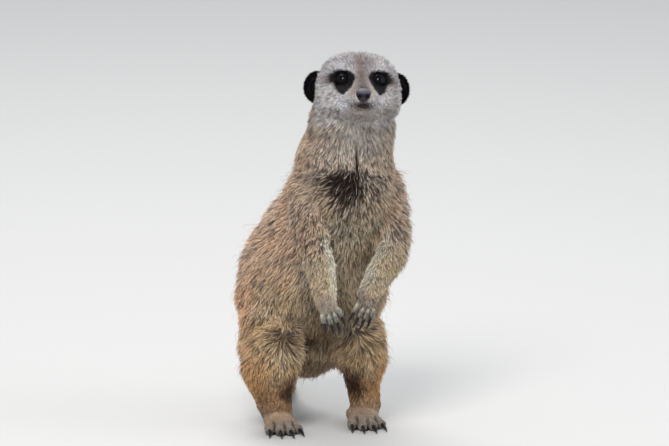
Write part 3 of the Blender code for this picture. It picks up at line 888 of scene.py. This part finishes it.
class Coat:
    """Roots, directions, sizes and colours of all tufts."""

    def __init__(self, mesh, count):
        co, tris = positions(mesh), triangles(mesh)
        web = Web(mesh)
        normals = unit(web.spread(vertex_normals(co, tris), 3))
        weights = np.zeros((len(co), len(FLESH)))
        weights[np.arange(len(co)), nearest_parts(co)] = 1
        weights = web.spread(weights, 30)
        wide = web.spread(weights, 130)
        shade_skin(mesh, web, co, normals, wide, markings(co, normals, wide))
        flow = laid_flat(web.spread(fur_flow(co, normals, wide), 10), normals)
        length, width, lift = (wide @ COAT_TABLE[:, i] for i in (1, 2, 3))
        self.shape_lengths(co, normals, length, width, lift, wide)
        fields = {"root": co, "normal": normals, "flow": flow, "length": length, "width": width, "lift": lift,
                  "weights": weights, "wide": wide}
        self.sample(tris, fields, count)
        self.normal, self.flow = unit(self.normal), unit(self.flow)
        self.length, self.width, self.lift = self.length * MM, self.width * MM, np.radians(self.lift)
        share = self.weights @ np.array([BENT_SHARE.get(kind, 0.5) for kind in KINDS])
        self.bent = RNG.uniform(0, 1, len(share)) < share

    @staticmethod
    def shape_lengths(co, normals, length, width, lift, wide):
        """Fits the fur's length, width and lift to the place, in the arrays given."""
        body, head = in_body(co), in_head(co)
        x, _, z = body.T
        _, hy, hz = head.T
        skull = share_of(wide, "head")
        away = size_of(head - (0, -49, -9))
        face = 1.2 + 4.6 * smooth(8, 62, away)
        length[:] = length * (1 - skull) + face * skull
        width[:] = width * (1 - skull) + (0.22 + 0.16 * smooth(5, 50, away)) * skull
        lift[:] = lift * (1 - skull) + (12 + 11 * smooth(10, 55, away)) * skull
        length += skull * 1.6 * smooth(-8, -20, hz) * smooth(-26, -12, hy)
        length -= skull * 0.5 * smooth(14, 24, hz)
        lift += skull * 7 * smooth(10, 22, hz)
        for side in (-1, 1):
            ring, deep = eye_ring(head, side)
            close = bell(ring, 2.0) * smooth(-2, 2, deep)
            length *= 1 - 0.6 * close
            width *= 1 - 0.25 * close
        left = smooth(20, 60, x) * smooth(80, 120, z) * smooth(225, 195, z)
        lift += 8 * left
        length += 3.0 * left
        tight = bell(parting(body), 4.0) * smooth(206, 214, z) * smooth(0.2, 0.7, -normals[:, 1])
        tight *= smooth(250, 243, z)
        length *= 1 - 0.45 * tight
        lift *= 1 - 0.4 * tight
        for knee in KNEES.values():
            length *= 1 - 0.25 * near(body, knee, (7.0, 10, 7.0))
            length *= 1 - 0.35 * near(body, knee + (0, 0, 13), (16, 20, 6))
        length *= 1 - 0.3 * smooth(30, 12, z) * pair_share(wide, "shank")

    def sample(self, tris, fields, count):
        """Scatters the roots, closer where the fur is short and thin, and reads the fields of the skin there."""
        corners = fields["root"][tris]
        centre = corners.mean(1)
        edges = corners[:, 1:] - corners[:, :1]
        area = 0.5 * size_of(np.cross(edges[:, 0], edges[:, 1])) / MM**2
        need = area * self.bare(centre) / (fields["length"][tris].mean(1) * fields["width"][tris].mean(1)) ** 0.75
        need *= 1 + 0.25 * smooth(0.2, 0.9, -fields["normal"][tris].mean(1)[:, 1])
        order = np.argsort(centre @ np.array((0.31, 0.17, 1.0)))
        total = np.cumsum(need[order])
        marks = (np.arange(count) + RNG.uniform(0, 1, count)) * total[-1] / count
        chosen = order[np.minimum(np.searchsorted(total, marks), len(order) - 1)]
        u, v = RNG.uniform(0, 1, (2, count))
        swap = u + v > 1
        u[swap], v[swap] = 1 - u[swap], 1 - v[swap]
        shares = np.stack([1 - u - v, u, v], 1)

        def at(field):
            values = field[tris[chosen]]
            return (values * (shares[:, :, None] if values.ndim == 3 else shares)).sum(1)

        keep = self.bare(at(fields["root"])) > 0.5
        chosen, shares = chosen[keep], shares[keep]
        for key, field in fields.items():
            setattr(self, key, at(field))

    @staticmethod
    def bare(points):
        """0 where no fur grows: in the eyes, on the nose pad, in the mouth, in the parting and under the soles."""
        head, body = in_head(points), in_body(points)
        grows = np.ones(len(points))
        for side in (-1, 1):
            ring, deep = eye_ring(head, side, 0.9, 0.6)
            grows[(ring < 1) & (deep > 0)] = 0
        nose = np.sqrt((head[:, 0] / 5.6) ** 2 + ((head[:, 2] + 9.2) / 5.0) ** 2)
        grows[(nose < 1) & (head[:, 1] < -44)] = 0
        grows[(mouth_gap(head) < 0.45) & (head[:, 1] < -36)] = 0
        line = (np.abs(parting(body)) < 0.7) & (body[:, 2] > PARTING_FOOT) & (body[:, 2] < PARTING_TOP)
        grows[line & (body[:, 1] < -30)] = 0
        grows[points[:, 2] < SOLE] = 0
        return grows

    def dress(self):
        """Lays the tufts: the four points of each one's spine. Tips gather towards a leading tuft, as locks do."""
        count = len(self.root)
        body = in_body(self.root)
        z = body[:, 2]
        side = unit(np.cross(self.flow, self.normal))
        sway = ripple(body, 16, 21) * 0.13 + ripple(body, 6, 22) * 0.12 + RNG.normal(0, 0.20, count)
        sway += 0.3 * ripple(body, 8, 24) * near(body, (8, -55, 205), (42, 34, 40))
        skull = share_of(self.weights, "head")
        tidy = bell(parting(body), 8, 4) * smooth(208, 214, z) * smooth(247, 242, z) * (body[:, 1] < -25)
        sway *= (1 - 0.35 * skull) * (1 - 0.7 * tidy)
        flow = unit(self.flow + side * sway[:, None])
        length = self.length * np.clip(RNG.normal(1, 0.16, count), 0.55, 1.45)
        lift = self.lift * np.clip(1 + 0.20 * ripple(body, 11, 23) + RNG.normal(0, 0.20, count), 0.3, 1.9)
        guard = (RNG.uniform(0, 1, count) < GUARD_SHARE) & (skull < 0.3) & (self.length > 8 * MM)
        length[guard] *= 1.45
        lift[guard] *= 1.5
        self.thin = np.where(guard, 0.5, 1.0)
        along, out = np.cos(lift)[:, None] * flow, np.sin(lift)[:, None] * self.normal
        start = self.root - self.normal * np.minimum(self.length * 0.05, 0.4 * MM)[:, None]
        reach = length[:, None]
        a = start + reach * (0.38 * along + 0.475 * out)
        b = start + reach * (0.74 * along + 0.7548 * out)
        tip = start + reach * (1.04 * along + 0.82 * out)
        middles = self.root + flow * self.length[:, None] * 0.5
        leads = RNG.uniform(0, 1, count) < np.where(skull > 0.5, LEADERS_ON_HEAD, LEADERS)
        tree = kd_tree(middles, np.nonzero(leads)[0])
        lead = np.array([tree.find(place)[1] for place in middles])
        gather = (0.52 * (1 - 0.5 * skull) * (1 - 0.8 * guard))[:, None] * RNG.uniform(0.5, 1.25, (count, 1))
        tip = tip + (tip[lead] - tip) * gather
        b = b + (b[lead] - b) * gather * 0.55
        self.lead = lead
        self.spine = np.stack([start, a, b, tip], 1)
        bank = np.sign(parting(body))
        for k in (1, 2, 3):
            aside = parting(in_body(self.spine[:, k]))
            self.spine[:, k, 0] += tidy * (bank * np.maximum(bank * aside, 0.8) - aside) * MM
        self.spine[:, :, 2] = np.maximum(self.spine[:, :, 2], TUFT_LOWEST)

    def tint(self):
        """Each tuft's colour at root, two places between, and tip. Some end pale and some dark: a grizzled coat."""
        count = len(self.root)
        body = in_body(self.root)
        head = share_of(self.weights, "head")
        short, paws = pair_share(self.weights, "forearm", "hand", "foot"), pair_share(self.weights, "hand", "foot")
        chest = near(body, (8, -55, 195), (34, 30, 34))
        grizzle = 0.18 + 0.10 * head + 0.16 * pair_share(self.weights, "upper_arm") - 0.08 * short + 0.16 * chest
        each, lock = RNG.uniform(0, 1, count), RNG.uniform(0, 1, count)[self.lead]
        calm = 1 - 0.85 * bell(parting(body), 7) * smooth(208, 216, body[:, 2]) * (body[:, 1] < -25)
        stray = ((0.45 + 1.0 * (1 - head)) * calm * (1 - 0.75 * paws))[:, None] * MM * RNG.normal(0, 1, (count, 3))
        dice = np.argsort(np.argsort(0.55 * RNG.uniform(0, 1, count) + 0.45 * lock)) / count
        colour = markings(self.root + stray, self.normal, self.wide, dice)
        roll = 0.5 * each + 0.5 * lock
        dark = (roll < np.median(roll) * grizzle * 2).astype(float)[:, None]
        tone = (1 + 0.30 * (RNG.uniform(0, 1, count) - 0.5) + 0.50 * (lock - 0.5))[:, None]
        hue = RNG.normal(0, 0.035, (count, 1)) * np.array((1, 0, -1.2))
        base = colour * tone * (1 + hue)
        head, short = head[:, None], short[:, None]
        gloom = base * (0.36 + 0.22 * head) * dark
        # Roots and lower parts darker: partly the hairs' own dark bases, partly painted shade deep in the coat, less so
        # on the head and on short fur.
        root = base * (0.42 + 0.28 * head + 0.2 * short)
        lower = base * (0.82 - 0.28 * dark)
        upper = base * 1.14 * (1 - dark) + gloom
        tip = np.minimum(base**0.9 * (1.65 - 0.25 * head), 0.95) * (1 - dark) + gloom * 0.8
        self.paints = np.stack([root, lower, upper, tip], 1)

    def wrap(self, line):
        """An unwrap of the skin about a middle line: the angle about it and the distance along it."""
        body = in_body(self.root)
        along, place, tangent = on_line(body, line)
        offset = body - place
        ahead = unit(np.cross(np.cross(tangent, (0.02, -1.0, 0.05)), tangent))
        aside = np.cross(tangent, ahead)
        return np.stack([np.arctan2((offset * aside).sum(1), (offset * ahead).sum(1)), along], 1)

    def piece(self, name, where, chart, look):
        """One mesh of the tufts chosen: the bent ones and the straight ones."""
        spots = chart[where]
        low, high = spots.min(0), spots.max(0)
        home = 0.001 + (0.998 - PATCH) * (chart - low) / (high - low)
        groups = []
        for bent, steps in ((True, (0, 2, 3)), (False, (0, 3))):
            index = np.nonzero(where & (self.bent == bent))[0]
            if not len(index):
                continue
            spine, paints = self.spine[index][:, steps], self.paints[index][:, steps]
            tangent = unit(np.diff(spine, axis=1, append=spine[:, -1:] * 2 - spine[:, -2:-1]))
            side = unit(np.cross(tangent, self.normal[index][:, None]))
            half = self.width[index] * 0.5 * self.thin[index] * RNG.uniform(0.75, 1.25, len(index))
            groups.append(tuft_mesh(spine, side, np.cross(side, tangent), half, paints, home[index]))
        return tuft_object(name, groups, look)


def grow_coat(skin_mesh, look):
    """All of the coat, a piece for each region."""
    coat = Coat(skin_mesh, TUFTS)
    coat.dress()
    coat.tint()
    hx, hy, hz = in_head(coat.root).T
    label = coat.weights.argmax(1)

    def on(*names):
        return np.isin(label, [FLESH.index(name) for name in names])

    charts = {name: coat.wrap(line) for name, line in LINES.items()}
    ball = columns(np.arctan2(hx, -hy + 12), np.arctan2(hz + 4, np.hypot(hx, hy - 12)), 0)[:, :2]
    dome = columns(hx, np.arctan2(hz + 6, -hy), 0)[:, :2]
    face = on("head") & (hy < FACE_BACK)
    pieces = []
    for part, where, chart in (("face", face, ball), ("crown", on("head") & ~face, dome)):
        pieces += [(f"{part}_{side}", where & ((hx > 0) == (sign > 0)), chart) for side, sign in SIDES.items()]
    pieces.append(("neck", on("neck"), charts["trunk"]))
    for part, line, kinds in (("arm", "arm", LIMBS[0]), ("leg", "leg", LIMBS[1][:2]), ("foot", "leg", LIMBS[1][2:])):
        for side in SIDES:
            where = on(*(f"{side}_{kind}" for kind in kinds))
            pieces.append((f"{side}_{part}", where, charts[f"{side}_{line}"]))
    pieces.append(("tail", on("tail_base", "tail_end"), charts["tail"]))
    trunk, angle = on("trunk"), charts["trunk"][:, 0]
    sector = np.searchsorted(np.quantile(angle[trunk], (0.2, 0.4, 0.6, 0.8)), angle)
    pieces += [(f"trunk_{i + 1}", trunk & (sector == i), charts["trunk"]) for i in range(5)]
    for name, where, chart in pieces:
        coat.piece(f"coat_{name}", where, chart, look)


# ---------------- eyes, lids, nose, ears, claws


def grid_tris(rows, columns, looped=False):
    """Triangles of a grid of vertices: each row is a closed ring, and looped joins the last row to the first."""
    faces = []
    for i in range(rows if looped else rows - 1):
        k = (i + 1) % rows
        for j in range(columns):
            n = (j + 1) % columns
            a, b, c, d = i * columns + j, i * columns + n, k * columns + n, k * columns + j
            faces += [(a, b, c), (a, c, d)]
    return faces


def capped(rings, start, end):
    """Vertices and triangles of a closed tube through rings of points with a pole at each end."""
    rings = np.asarray(rings)
    rows, columns = rings.shape[:2]
    verts = np.concatenate([rings.reshape(-1, 3), [start, end]])
    faces = grid_tris(rows, columns)
    last = (rows - 1) * columns
    for j in range(columns):
        n = (j + 1) % columns
        faces += [(rows * columns, n, j), (rows * columns + 1, last + j, last + n)]
    return verts, np.array(faces)


def facing_out(verts, tris):
    """The triangles, turned over if they enclose a negative volume."""
    corners = verts[tris]
    volume = np.einsum("ij,ij->i", corners[:, 0], np.cross(corners[:, 1], corners[:, 2])).sum()
    return tris if volume > 0 else tris[:, ::-1]


def shape(name, verts, tris, look, colours=None):
    tris = facing_out(verts - verts.mean(0), tris)
    mesh = mesh_of(name, verts, tris)
    if colours is not None:
        paint(mesh, colours)
    return object_of(name, mesh, look=look)


def build_eye(name, side, look):
    """The ball, with a slight cornea, a dark brown iris and a broad pupil."""
    facing, long_axis, high_axis = eye_axes(side)
    centre = eye_centre(side)
    rings, tones = [], []
    polar = np.linspace(0, math.pi, 49)[1:-1]
    around = np.linspace(0, 2 * math.pi, 64, endpoint=False)
    pupil, iris, limbus, white = srgb(1, 1, 3), srgb(13, 10, 11), srgb(3, 3, 5), srgb(5, 5, 6)
    for p in polar:
        bulge = 0.35 * math.exp(-((p / 0.6) ** 4))
        across = np.stack([np.sin(p) * np.cos(around), np.sin(p) * np.sin(around), np.full(64, np.cos(p))], 1)
        rings.append(centre + (EYE_BALL + bulge) * (
            across[:, :1] * long_axis + across[:, 1:2] * high_axis + across[:, 2:] * facing))
        wide = np.sqrt((across[:, 0] / 0.40) ** 2 + (across[:, 1] / 0.26) ** 2)
        far = np.degrees(p)
        tone = np.repeat(iris[None], 64, 0) * (1 + 0.35 * np.sin(around * 23)[:, None] * (far < 38))
        tone = np.where((wide < 1)[:, None] & (across[:, 2:] > 0), pupil, tone)
        tone = np.where(far > 38, limbus, tone)
        tone = np.where(far > 50, white, tone)
        tones.append(tone)
    start = centre + facing * (EYE_BALL + 0.35)
    end = centre - facing * EYE_BALL
    verts, tris = capped(rings, start, end)
    colours = np.concatenate([np.concatenate(tones), [pupil, white]])
    made = shape(name + "_ball", from_head(verts), tris, look, colours)
    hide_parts(name)


def lid_point(side, t, swell, out):
    """A place round the opening: at angle t, that much outside its edge, that far off the ball."""
    facing, long_axis, high_axis = eye_axes(side)
    point = math.cos(t)
    along = (LID_LONG + swell) * math.copysign(abs(point) ** 0.92, point)
    height = (LID_HIGH + swell) * math.sin(t) * (0.86 if math.sin(t) > 0 else 0.94)
    flat = math.hypot(along, height)
    turn = flat / (EYE_BALL + 0.4)
    aside = (long_axis * along + high_axis * height) / max(flat, 1e-6)
    return eye_centre(side) + (EYE_BALL + out) * (facing * math.cos(turn) + aside * math.sin(turn))


# A lid's section: how far outside the opening's edge and how far off the ball, in mm, once round.
LID_SECTION = (
    (0.10, -0.6), (-0.05, -0.05), (0.0, 0.12), (0.2, 0.26), (0.5, 0.34), (0.9, 0.42), (1.3, 0.5), (1.7, 0.5),
    (2.1, 0.2), (2.3, -0.8), (1.4, -1.5), (0.5, -1.1),
)


def build_lids(name, side, look):
    """Dark bare lids: a band round the opening that hugs the ball and dives under the fur, thicker above."""
    verts, rows = [], 80
    for t in np.linspace(0, 2 * math.pi, rows, endpoint=False):
        upper = float(smooth(-0.2, 0.7, math.sin(t)))
        inner = float(smooth(0.75, 1.0, -math.cos(t)))
        for swell, out in LID_SECTION:
            proud = out * (1 + 0.55 * upper) if out > 0 else out
            verts.append(lid_point(side, t, swell * (1 + 0.25 * inner), proud))
    tris = np.array(grid_tris(rows, len(LID_SECTION), looped=True))
    shape(name + "_lids", from_head(np.array(verts)), tris, look)


def build_nose(look):
    """The nose pad: broad above, with two comma nostrils and a groove between them."""
    polar = np.linspace(0, math.pi, 61)[1:-1]
    around = np.linspace(0, 2 * math.pi, 96, endpoint=False)
    p, t = np.meshgrid(polar, around, indexing="ij")
    x, z, y = np.sin(p) * np.cos(t), np.sin(p) * np.sin(t), -np.cos(p)
    px = 5.5 * np.sign(x) * np.abs(x) ** 0.9 * (1 + 0.24 * z)
    pz = 5.1 * np.sign(z) * np.abs(z) ** 0.95
    py = 3.5 * y
    front = smooth(0.0, 0.6, -y)
    for side in (-1, 1):
        u, w = (px * side - 2.8), (pz + 1.3)
        turned = u * math.cos(0.5) + w * math.sin(0.5), -u * math.sin(0.5) + w * math.cos(0.5)
        hole = np.exp(-((turned[0] / 1.7) ** 2 + (turned[1] / 1.3) ** 2) ** 1.3)
        slit = np.exp(-(((u - 1.7) / 1.5) ** 2 + ((w - 0.25 + 0.15 * u) / 0.38) ** 2))
        py = py + front * (2.0 * hole + 0.8 * slit)
        py = py - front * 0.45 * np.exp(-(((u - 0.2) / 1.9) ** 2 + ((w - 1.55) / 0.8) ** 2))
    py = py + front * 0.55 * bell(px, 0.4) * smooth(1.5, -0.5, pz)
    grain = ripple(np.stack([px, py, pz], -1).reshape(-1, 3), 0.9, 31).reshape(px.shape)
    py = py - 0.06 * grain * front
    local = np.stack([px, py, pz], -1) + NOSE
    verts, tris = capped(local, NOSE + (0, -3.6, 0), NOSE + (0, 3.6, 0))
    # Painted shade in the nostrils' openings: darker round each nostril.
    dark = np.zeros(len(verts))
    for side in (-1, 1):
        u, w = verts[:, 0] * side - 2.8, verts[:, 2] - NOSE[2] + 1.3
        dark += np.exp(-((u / 2.2) ** 2 + (w / 2.0) ** 2) ** 1.2)
    tone = srgb(50, 47, 55)[None] * (1 + 0.25 * ripple(verts, 1.6, 32)[:, None])
    tone = tone * (1 - 0.9 * np.clip(dark, 0, 1))[:, None] + srgb(10, 8, 10) * np.clip(dark, 0, 1)[:, None]
    # Painted highlight: the top of the pad lighter and bluer, a painted sheen.
    top = smooth(0.5, 4.0, verts[:, 2] - NOSE[2])[:, None]
    tone = tone * (1 - 0.6 * top) + srgb(98, 96, 108) * 0.6 * top
    made = shape("nose_pad", from_head(verts), tris, look, tone)
    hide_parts("nose")


def build_ear(name, side, look):
    """A small rounded pinna, cupped forward, with a rolled rim and a ridge in its hollow. Dark all over."""
    outward, upward = np.array((side * 0.93, 0.30, 0.0)), np.array((0.0, 0.10, 1.0))
    ahead = unit(np.cross(outward, upward) * side)
    if ahead[1] > 0:
        ahead = -ahead
    centre = EAR * (side, 1, 1) + np.array((side * 0.5, 0.5, 0.2))
    around = np.linspace(0, 2 * math.pi, 64, endpoint=False)
    front, back = [], []
    for r in np.linspace(0.04, 1, 26):
        cup = -2.0 * (1 - r**2.2) + 0.45 * math.exp(-(((r - 0.9) / 0.12) ** 2))
        ridge = 0.5 * bell(r - 0.52, 0.13) * smooth(-0.6, 0.3, np.cos(around))
        across = (9.6 * r * np.cos(around))[:, None] * outward
        high = (12.2 * r * np.sin(around) * (1 - 0.08 * np.cos(around)))[:, None] * upward
        front.append(centre + across + high + (cup + ridge)[:, None] * ahead)
        rim = 1.02 if r > 0.97 else 1.0
        back.append(centre + (across + high) * rim + (cup - 1.1 - 1.2 * (1 - r) - 0.6 * r) * ahead)
    verts, tris = capped(np.array(front + back[::-1]), front[0].mean(0), back[0].mean(0))
    tone = srgb(10, 8, 10)[None] * (1 + 0.3 * ripple(verts, 3, 41)[:, None])
    made = shape(name + "_pinna", from_head(verts), tris, look, np.clip(tone, 0.002, 1))
    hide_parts(name)
    return np.array(front), np.array(back), outward, ahead


EAR_TUFTS = 5200  # on each ear


def ear_tufts(name, side, shell, look):
    """Short black velvet on the pinna, front and back, and along its rim."""
    front, back, outward, ahead = shell
    rng = np.random.default_rng(60 + side)
    count, (rows, columns) = EAR_TUFTS, front.shape[:2]
    r = np.sqrt(rng.uniform(0.02, 1, count)) * (rows - 1)
    t = rng.uniform(0, columns, count)
    behind = rng.uniform(0, 1, count) < 0.45
    i, j = r.astype(int), t.astype(int) % columns
    n, k = (j + 1) % columns, np.minimum(i + 1, rows - 1)
    down, along = (r - i)[:, None], (t - np.floor(t))[:, None]

    def on_sheet(row, column):
        return np.where(behind[:, None], back[row, column], front[row, column])

    root = on_sheet(i, j) * (1 - down) + on_sheet(k, j) * down + along * (on_sheet(i, n) - on_sheet(i, j))
    normal = np.where(behind[:, None], -ahead, ahead)
    flow = unit(unit(root - front.mean((0, 1))) + 0.5 * unit(outward) + rng.normal(0, 0.25, (count, 3)))
    flow = laid_flat(flow, normal)
    length = rng.uniform(0.7, 1.6, count)[:, None]
    spine = np.stack([root - normal * 0.15, root + flow * length + normal * (0.25 * length)], 1)
    tone = rng.uniform(0.4, 1.7, count)[:, None] * srgb(21, 19, 21)
    tone[rng.uniform(0, 1, count) < 0.03] = srgb(104, 92, 84)
    tangent = np.repeat(unit(spine[:, 1:] - spine[:, :1]), 2, 1)
    aside = unit(np.cross(tangent, normal[:, None]))
    home = np.stack([t / columns, 0.5 * r / (rows - 1) + 0.5 * behind], 1) * 0.994 + 0.001
    group = tuft_mesh(
        from_head(spine.reshape(-1, 3)).reshape(-1, 2, 3), aside @ HEAD_AXES.T, np.cross(aside, tangent) @ HEAD_AXES.T,
        rng.uniform(0.11, 0.2, count) * MM, np.repeat(tone[:, None], 2, 1), home,
    )
    tuft_object(name, [group], look)


CLAW_GRAIN = 0.26  # mm


def build_claws():
    """Each claw's solid, evened out, smoothed and drawn back to its root in the digit. Black horn, streaked."""
    look = mottled_material("Claw horn", 260, 5, (0.35, 0.75), ((11, 11, 14), (34, 33, 37)), (0.34, 0.5), (0.1, 0.0001),
                            {"Specular IOR Level": 0.3})
    for limb in (f"{side}_{end}" for end in ("hand", "foot") for side in SIDES):
        ends = np.array([line[-1] for line in PAWS[limb][0]])
        for number in range(1, 5):
            name = f"{limb}_claw_{number}"
            mesh = remeshed(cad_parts[name].data.copy(), CLAW_GRAIN, 3)
            co = in_body(positions(mesh))
            gaps = size_of(co[:, None] - ends)
            first, digit = np.unravel_index(gaps.argmin(), gaps.shape)
            base, point = co[first], co[gaps[:, digit].argmax()]
            along = (co - base) @ unit(point - base) / np.linalg.norm(point - base)
            co += (ends[digit] - base) * smooth(0.45, 0.0, along)[:, None]
            set_positions(mesh, from_body(co))
            mesh.shade_smooth()
            made = object_of(f"{limb}_horn_{number}", mesh, look=look)
            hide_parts(name)


def build_whiskers(look):
    """Fine dark vibrissae on the muzzle's sides and over the eyes, as one mesh of closed tubes."""
    rng = np.random.default_rng(77)
    tubes = []
    for side in (-1, 1):
        roots = [((side * (7.6 + 1.2 * (k % 3)), -43.5 + 2.6 * (k // 3), -11.5 - 1.5 * (k % 3)), 11 + 1.5 * (k // 3))
                 for k in range(9)]
        roots += [((side * (10 + 2.0 * k), -25.5 + 1.5 * k, 11.5 + 0.6 * k), 11) for k in range(2)]
        for place, length in roots:
            place, muzzle = np.array(place), place[2] < 0
            aim = unit(np.array((side * 1.0, -0.35 + 0.15 * rng.normal(), -0.25 + 0.2 * rng.normal()))
                       if muzzle else np.array((side * 0.5, -0.5, 1.0)))
            sag = np.array((0, 0.5, -0.35 if muzzle else -0.2))
            length *= rng.uniform(0.8, 1.15)
            rings = []
            for s in np.linspace(0, 1, 7)[:-1]:
                centre = place + aim * length * s + sag * length * 0.35 * s**2
                ahead = unit(aim + sag * 0.7 * s)
                a = unit(np.cross(ahead, (0, 0, 1.0)))
                b = np.cross(ahead, a)
                radius = 0.075 * (1 - s) ** 0.7 + 0.015
                rings.append([centre + radius * (a * math.cos(t) + b * math.sin(t)) for t in (0, 2.094, 4.189)])
            verts, tris = capped(rings, place - aim * 0.5, place + aim * length + sag * length * 0.35)
            tubes.append((verts, facing_out(verts - verts.mean(0), tris)))
    verts, tris = joined(tubes)
    mesh = mesh_of("whiskers", from_head(verts), tris)
    paint(mesh, np.repeat(srgb(38, 32, 30)[None], len(verts), 0))
    object_of("whiskers", mesh, look=look)


# ---------------- the studio

LIGHTS = (  # place and size in metres, power in watts, colour
    ("key", (-0.9, -1.5, 1.9), 1.0, 58, (1.0, 0.98, 0.95)),
    ("fill", (1.6, -1.0, 0.9), 1.6, 14, (0.94, 0.97, 1.0)),
    ("top", (0.1, 0.9, 1.8), 1.2, 28, (1.0, 1.0, 1.0)),
)


def area_light(name, place, size, power, colour):
    data = bpy.data.lights.new(name, "AREA")
    data.shape, data.size, data.energy, data.color = "DISK", size, power, colour
    lamp = bpy.data.objects.new(name, data)
    lamp.location = place
    lamp.rotation_euler = (Vector(from_body((0, 10, 150))) - Vector(place)).to_track_quat("-Z", "Y").to_euler()
    lamp.visible_camera = False
    bpy.context.scene.collection.objects.link(lamp)


def build_studio():
    scene = bpy.context.scene
    scene.view_settings.view_transform = "Standard"
    for light in LIGHTS:
        area_light(*light)
    world = bpy.data.worlds.new("Studio")
    world.use_nodes = True
    put(world.node_tree.nodes["Background"], {"Color": (0.86, 0.90, 0.96, 1), "Strength": 0.78})
    scene.world = world

    work = bmesh.new()
    bmesh.ops.create_grid(work, x_segments=2, y_segments=2, size=12)
    mesh = bpy.data.meshes.new("floor")
    work.to_mesh(mesh)
    work.free()
    floor = bpy.data.objects.new("floor", mesh)
    scene.collection.objects.link(floor)
    look, _, shader = new_material("Studio floor")
    put(shader, {"Roughness": 0.85, "Base Color": (0.44, 0.435, 0.425, 1)})
    mesh.materials.append(look)


CAMERA_AZIMUTH, CAMERA_ELEVATION = math.radians(-18), math.radians(12)
CAMERA_DISTANCE = 12.0
PIXELS_PER_METRE, FRAME_WIDTH, FRAME_HEIGHT = 1300, 669, 446
ORIGIN_IN_FRAME = (320, 425)  # where the body frame's origin falls in the frame


def build_camera():
    a, e = CAMERA_AZIMUTH, CAMERA_ELEVATION
    back = Vector((math.sin(a) * math.cos(e), -math.cos(a) * math.cos(e), math.sin(e)))
    right = Vector((math.cos(a), math.sin(a), 0))
    up = back.cross(right)
    aim = Vector(from_body((0, 0, 0)))
    aim += right * (FRAME_WIDTH / 2 - ORIGIN_IN_FRAME[0]) / PIXELS_PER_METRE
    aim += up * (ORIGIN_IN_FRAME[1] - FRAME_HEIGHT / 2) / PIXELS_PER_METRE
    data = bpy.data.cameras.new("camera")
    data.sensor_width = 36
    data.lens = 36 * CAMERA_DISTANCE / (FRAME_WIDTH / PIXELS_PER_METRE)
    camera = bpy.data.objects.new("camera", data)
    camera.location = aim + back * CAMERA_DISTANCE
    camera.rotation_euler = back.to_track_quat("Z", "Y").to_euler()
    data.clip_end = 50
    bpy.context.scene.collection.objects.link(camera)
    bpy.context.scene.camera = camera


# ---------------- all of it


def main():
    build_camera()
    build_studio()
    skin_look = attribute_material("Skin", 0.75, 1400, 0.3, 0.2, 0.0004)
    fur_look = attribute_material("Fur", 0.58, 500, 0.14, 0.25, values={"Sheen Weight": 0.02})
    ear_look = attribute_material("Ear fur", 0.75, 1500, 0.35, 0.06, 0.0002)
    leather = attribute_material("Nose leather", 0.4, 3200, 0.3, 0.3, 0.00025)
    lid_look = mottled_material("Lid skin", 2600, 4, (0, 1), ((3, 3, 4), (9, 8, 9)), (0.5, 0.7), (0.4, 0.0002),
                                {"Specular IOR Level": 0.2, "IOR": 1.15})
    # The coat is the eye's real wet gloss; the blue Specular Tint paints a sky's colour into its reflections.
    wet_and_painted_sky_tint = {"Specular Tint": (0.35, 0.55, 1.0, 1), "IOR": 1.25, "Coat Weight": 0.4, "Coat IOR": 1.34,
           "Coat Roughness": 0.02}
    eye_look = attribute_material("Eye", 0.22, 900, 0.1, 0.06, values=wet_and_painted_sky_tint)

    skin_mesh = build_skin()
    skin = object_of("skin", skin_mesh, look=skin_look)
    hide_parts(*FLESH)
    grow_coat(skin_mesh, fur_look)
    for name, side in SIDES.items():
        build_eye(f"{name}_eye", side, eye_look)
        build_lids(f"{name}_eye", side, lid_look)
    build_nose(leather)
    for name, side in SIDES.items():
        shell = build_ear(f"{name}_ear", side, ear_look)
        ear_tufts(f"{name}_ear_fur", side, shell, ear_look)
    build_claws()
    build_whiskers(fur_look)


main()
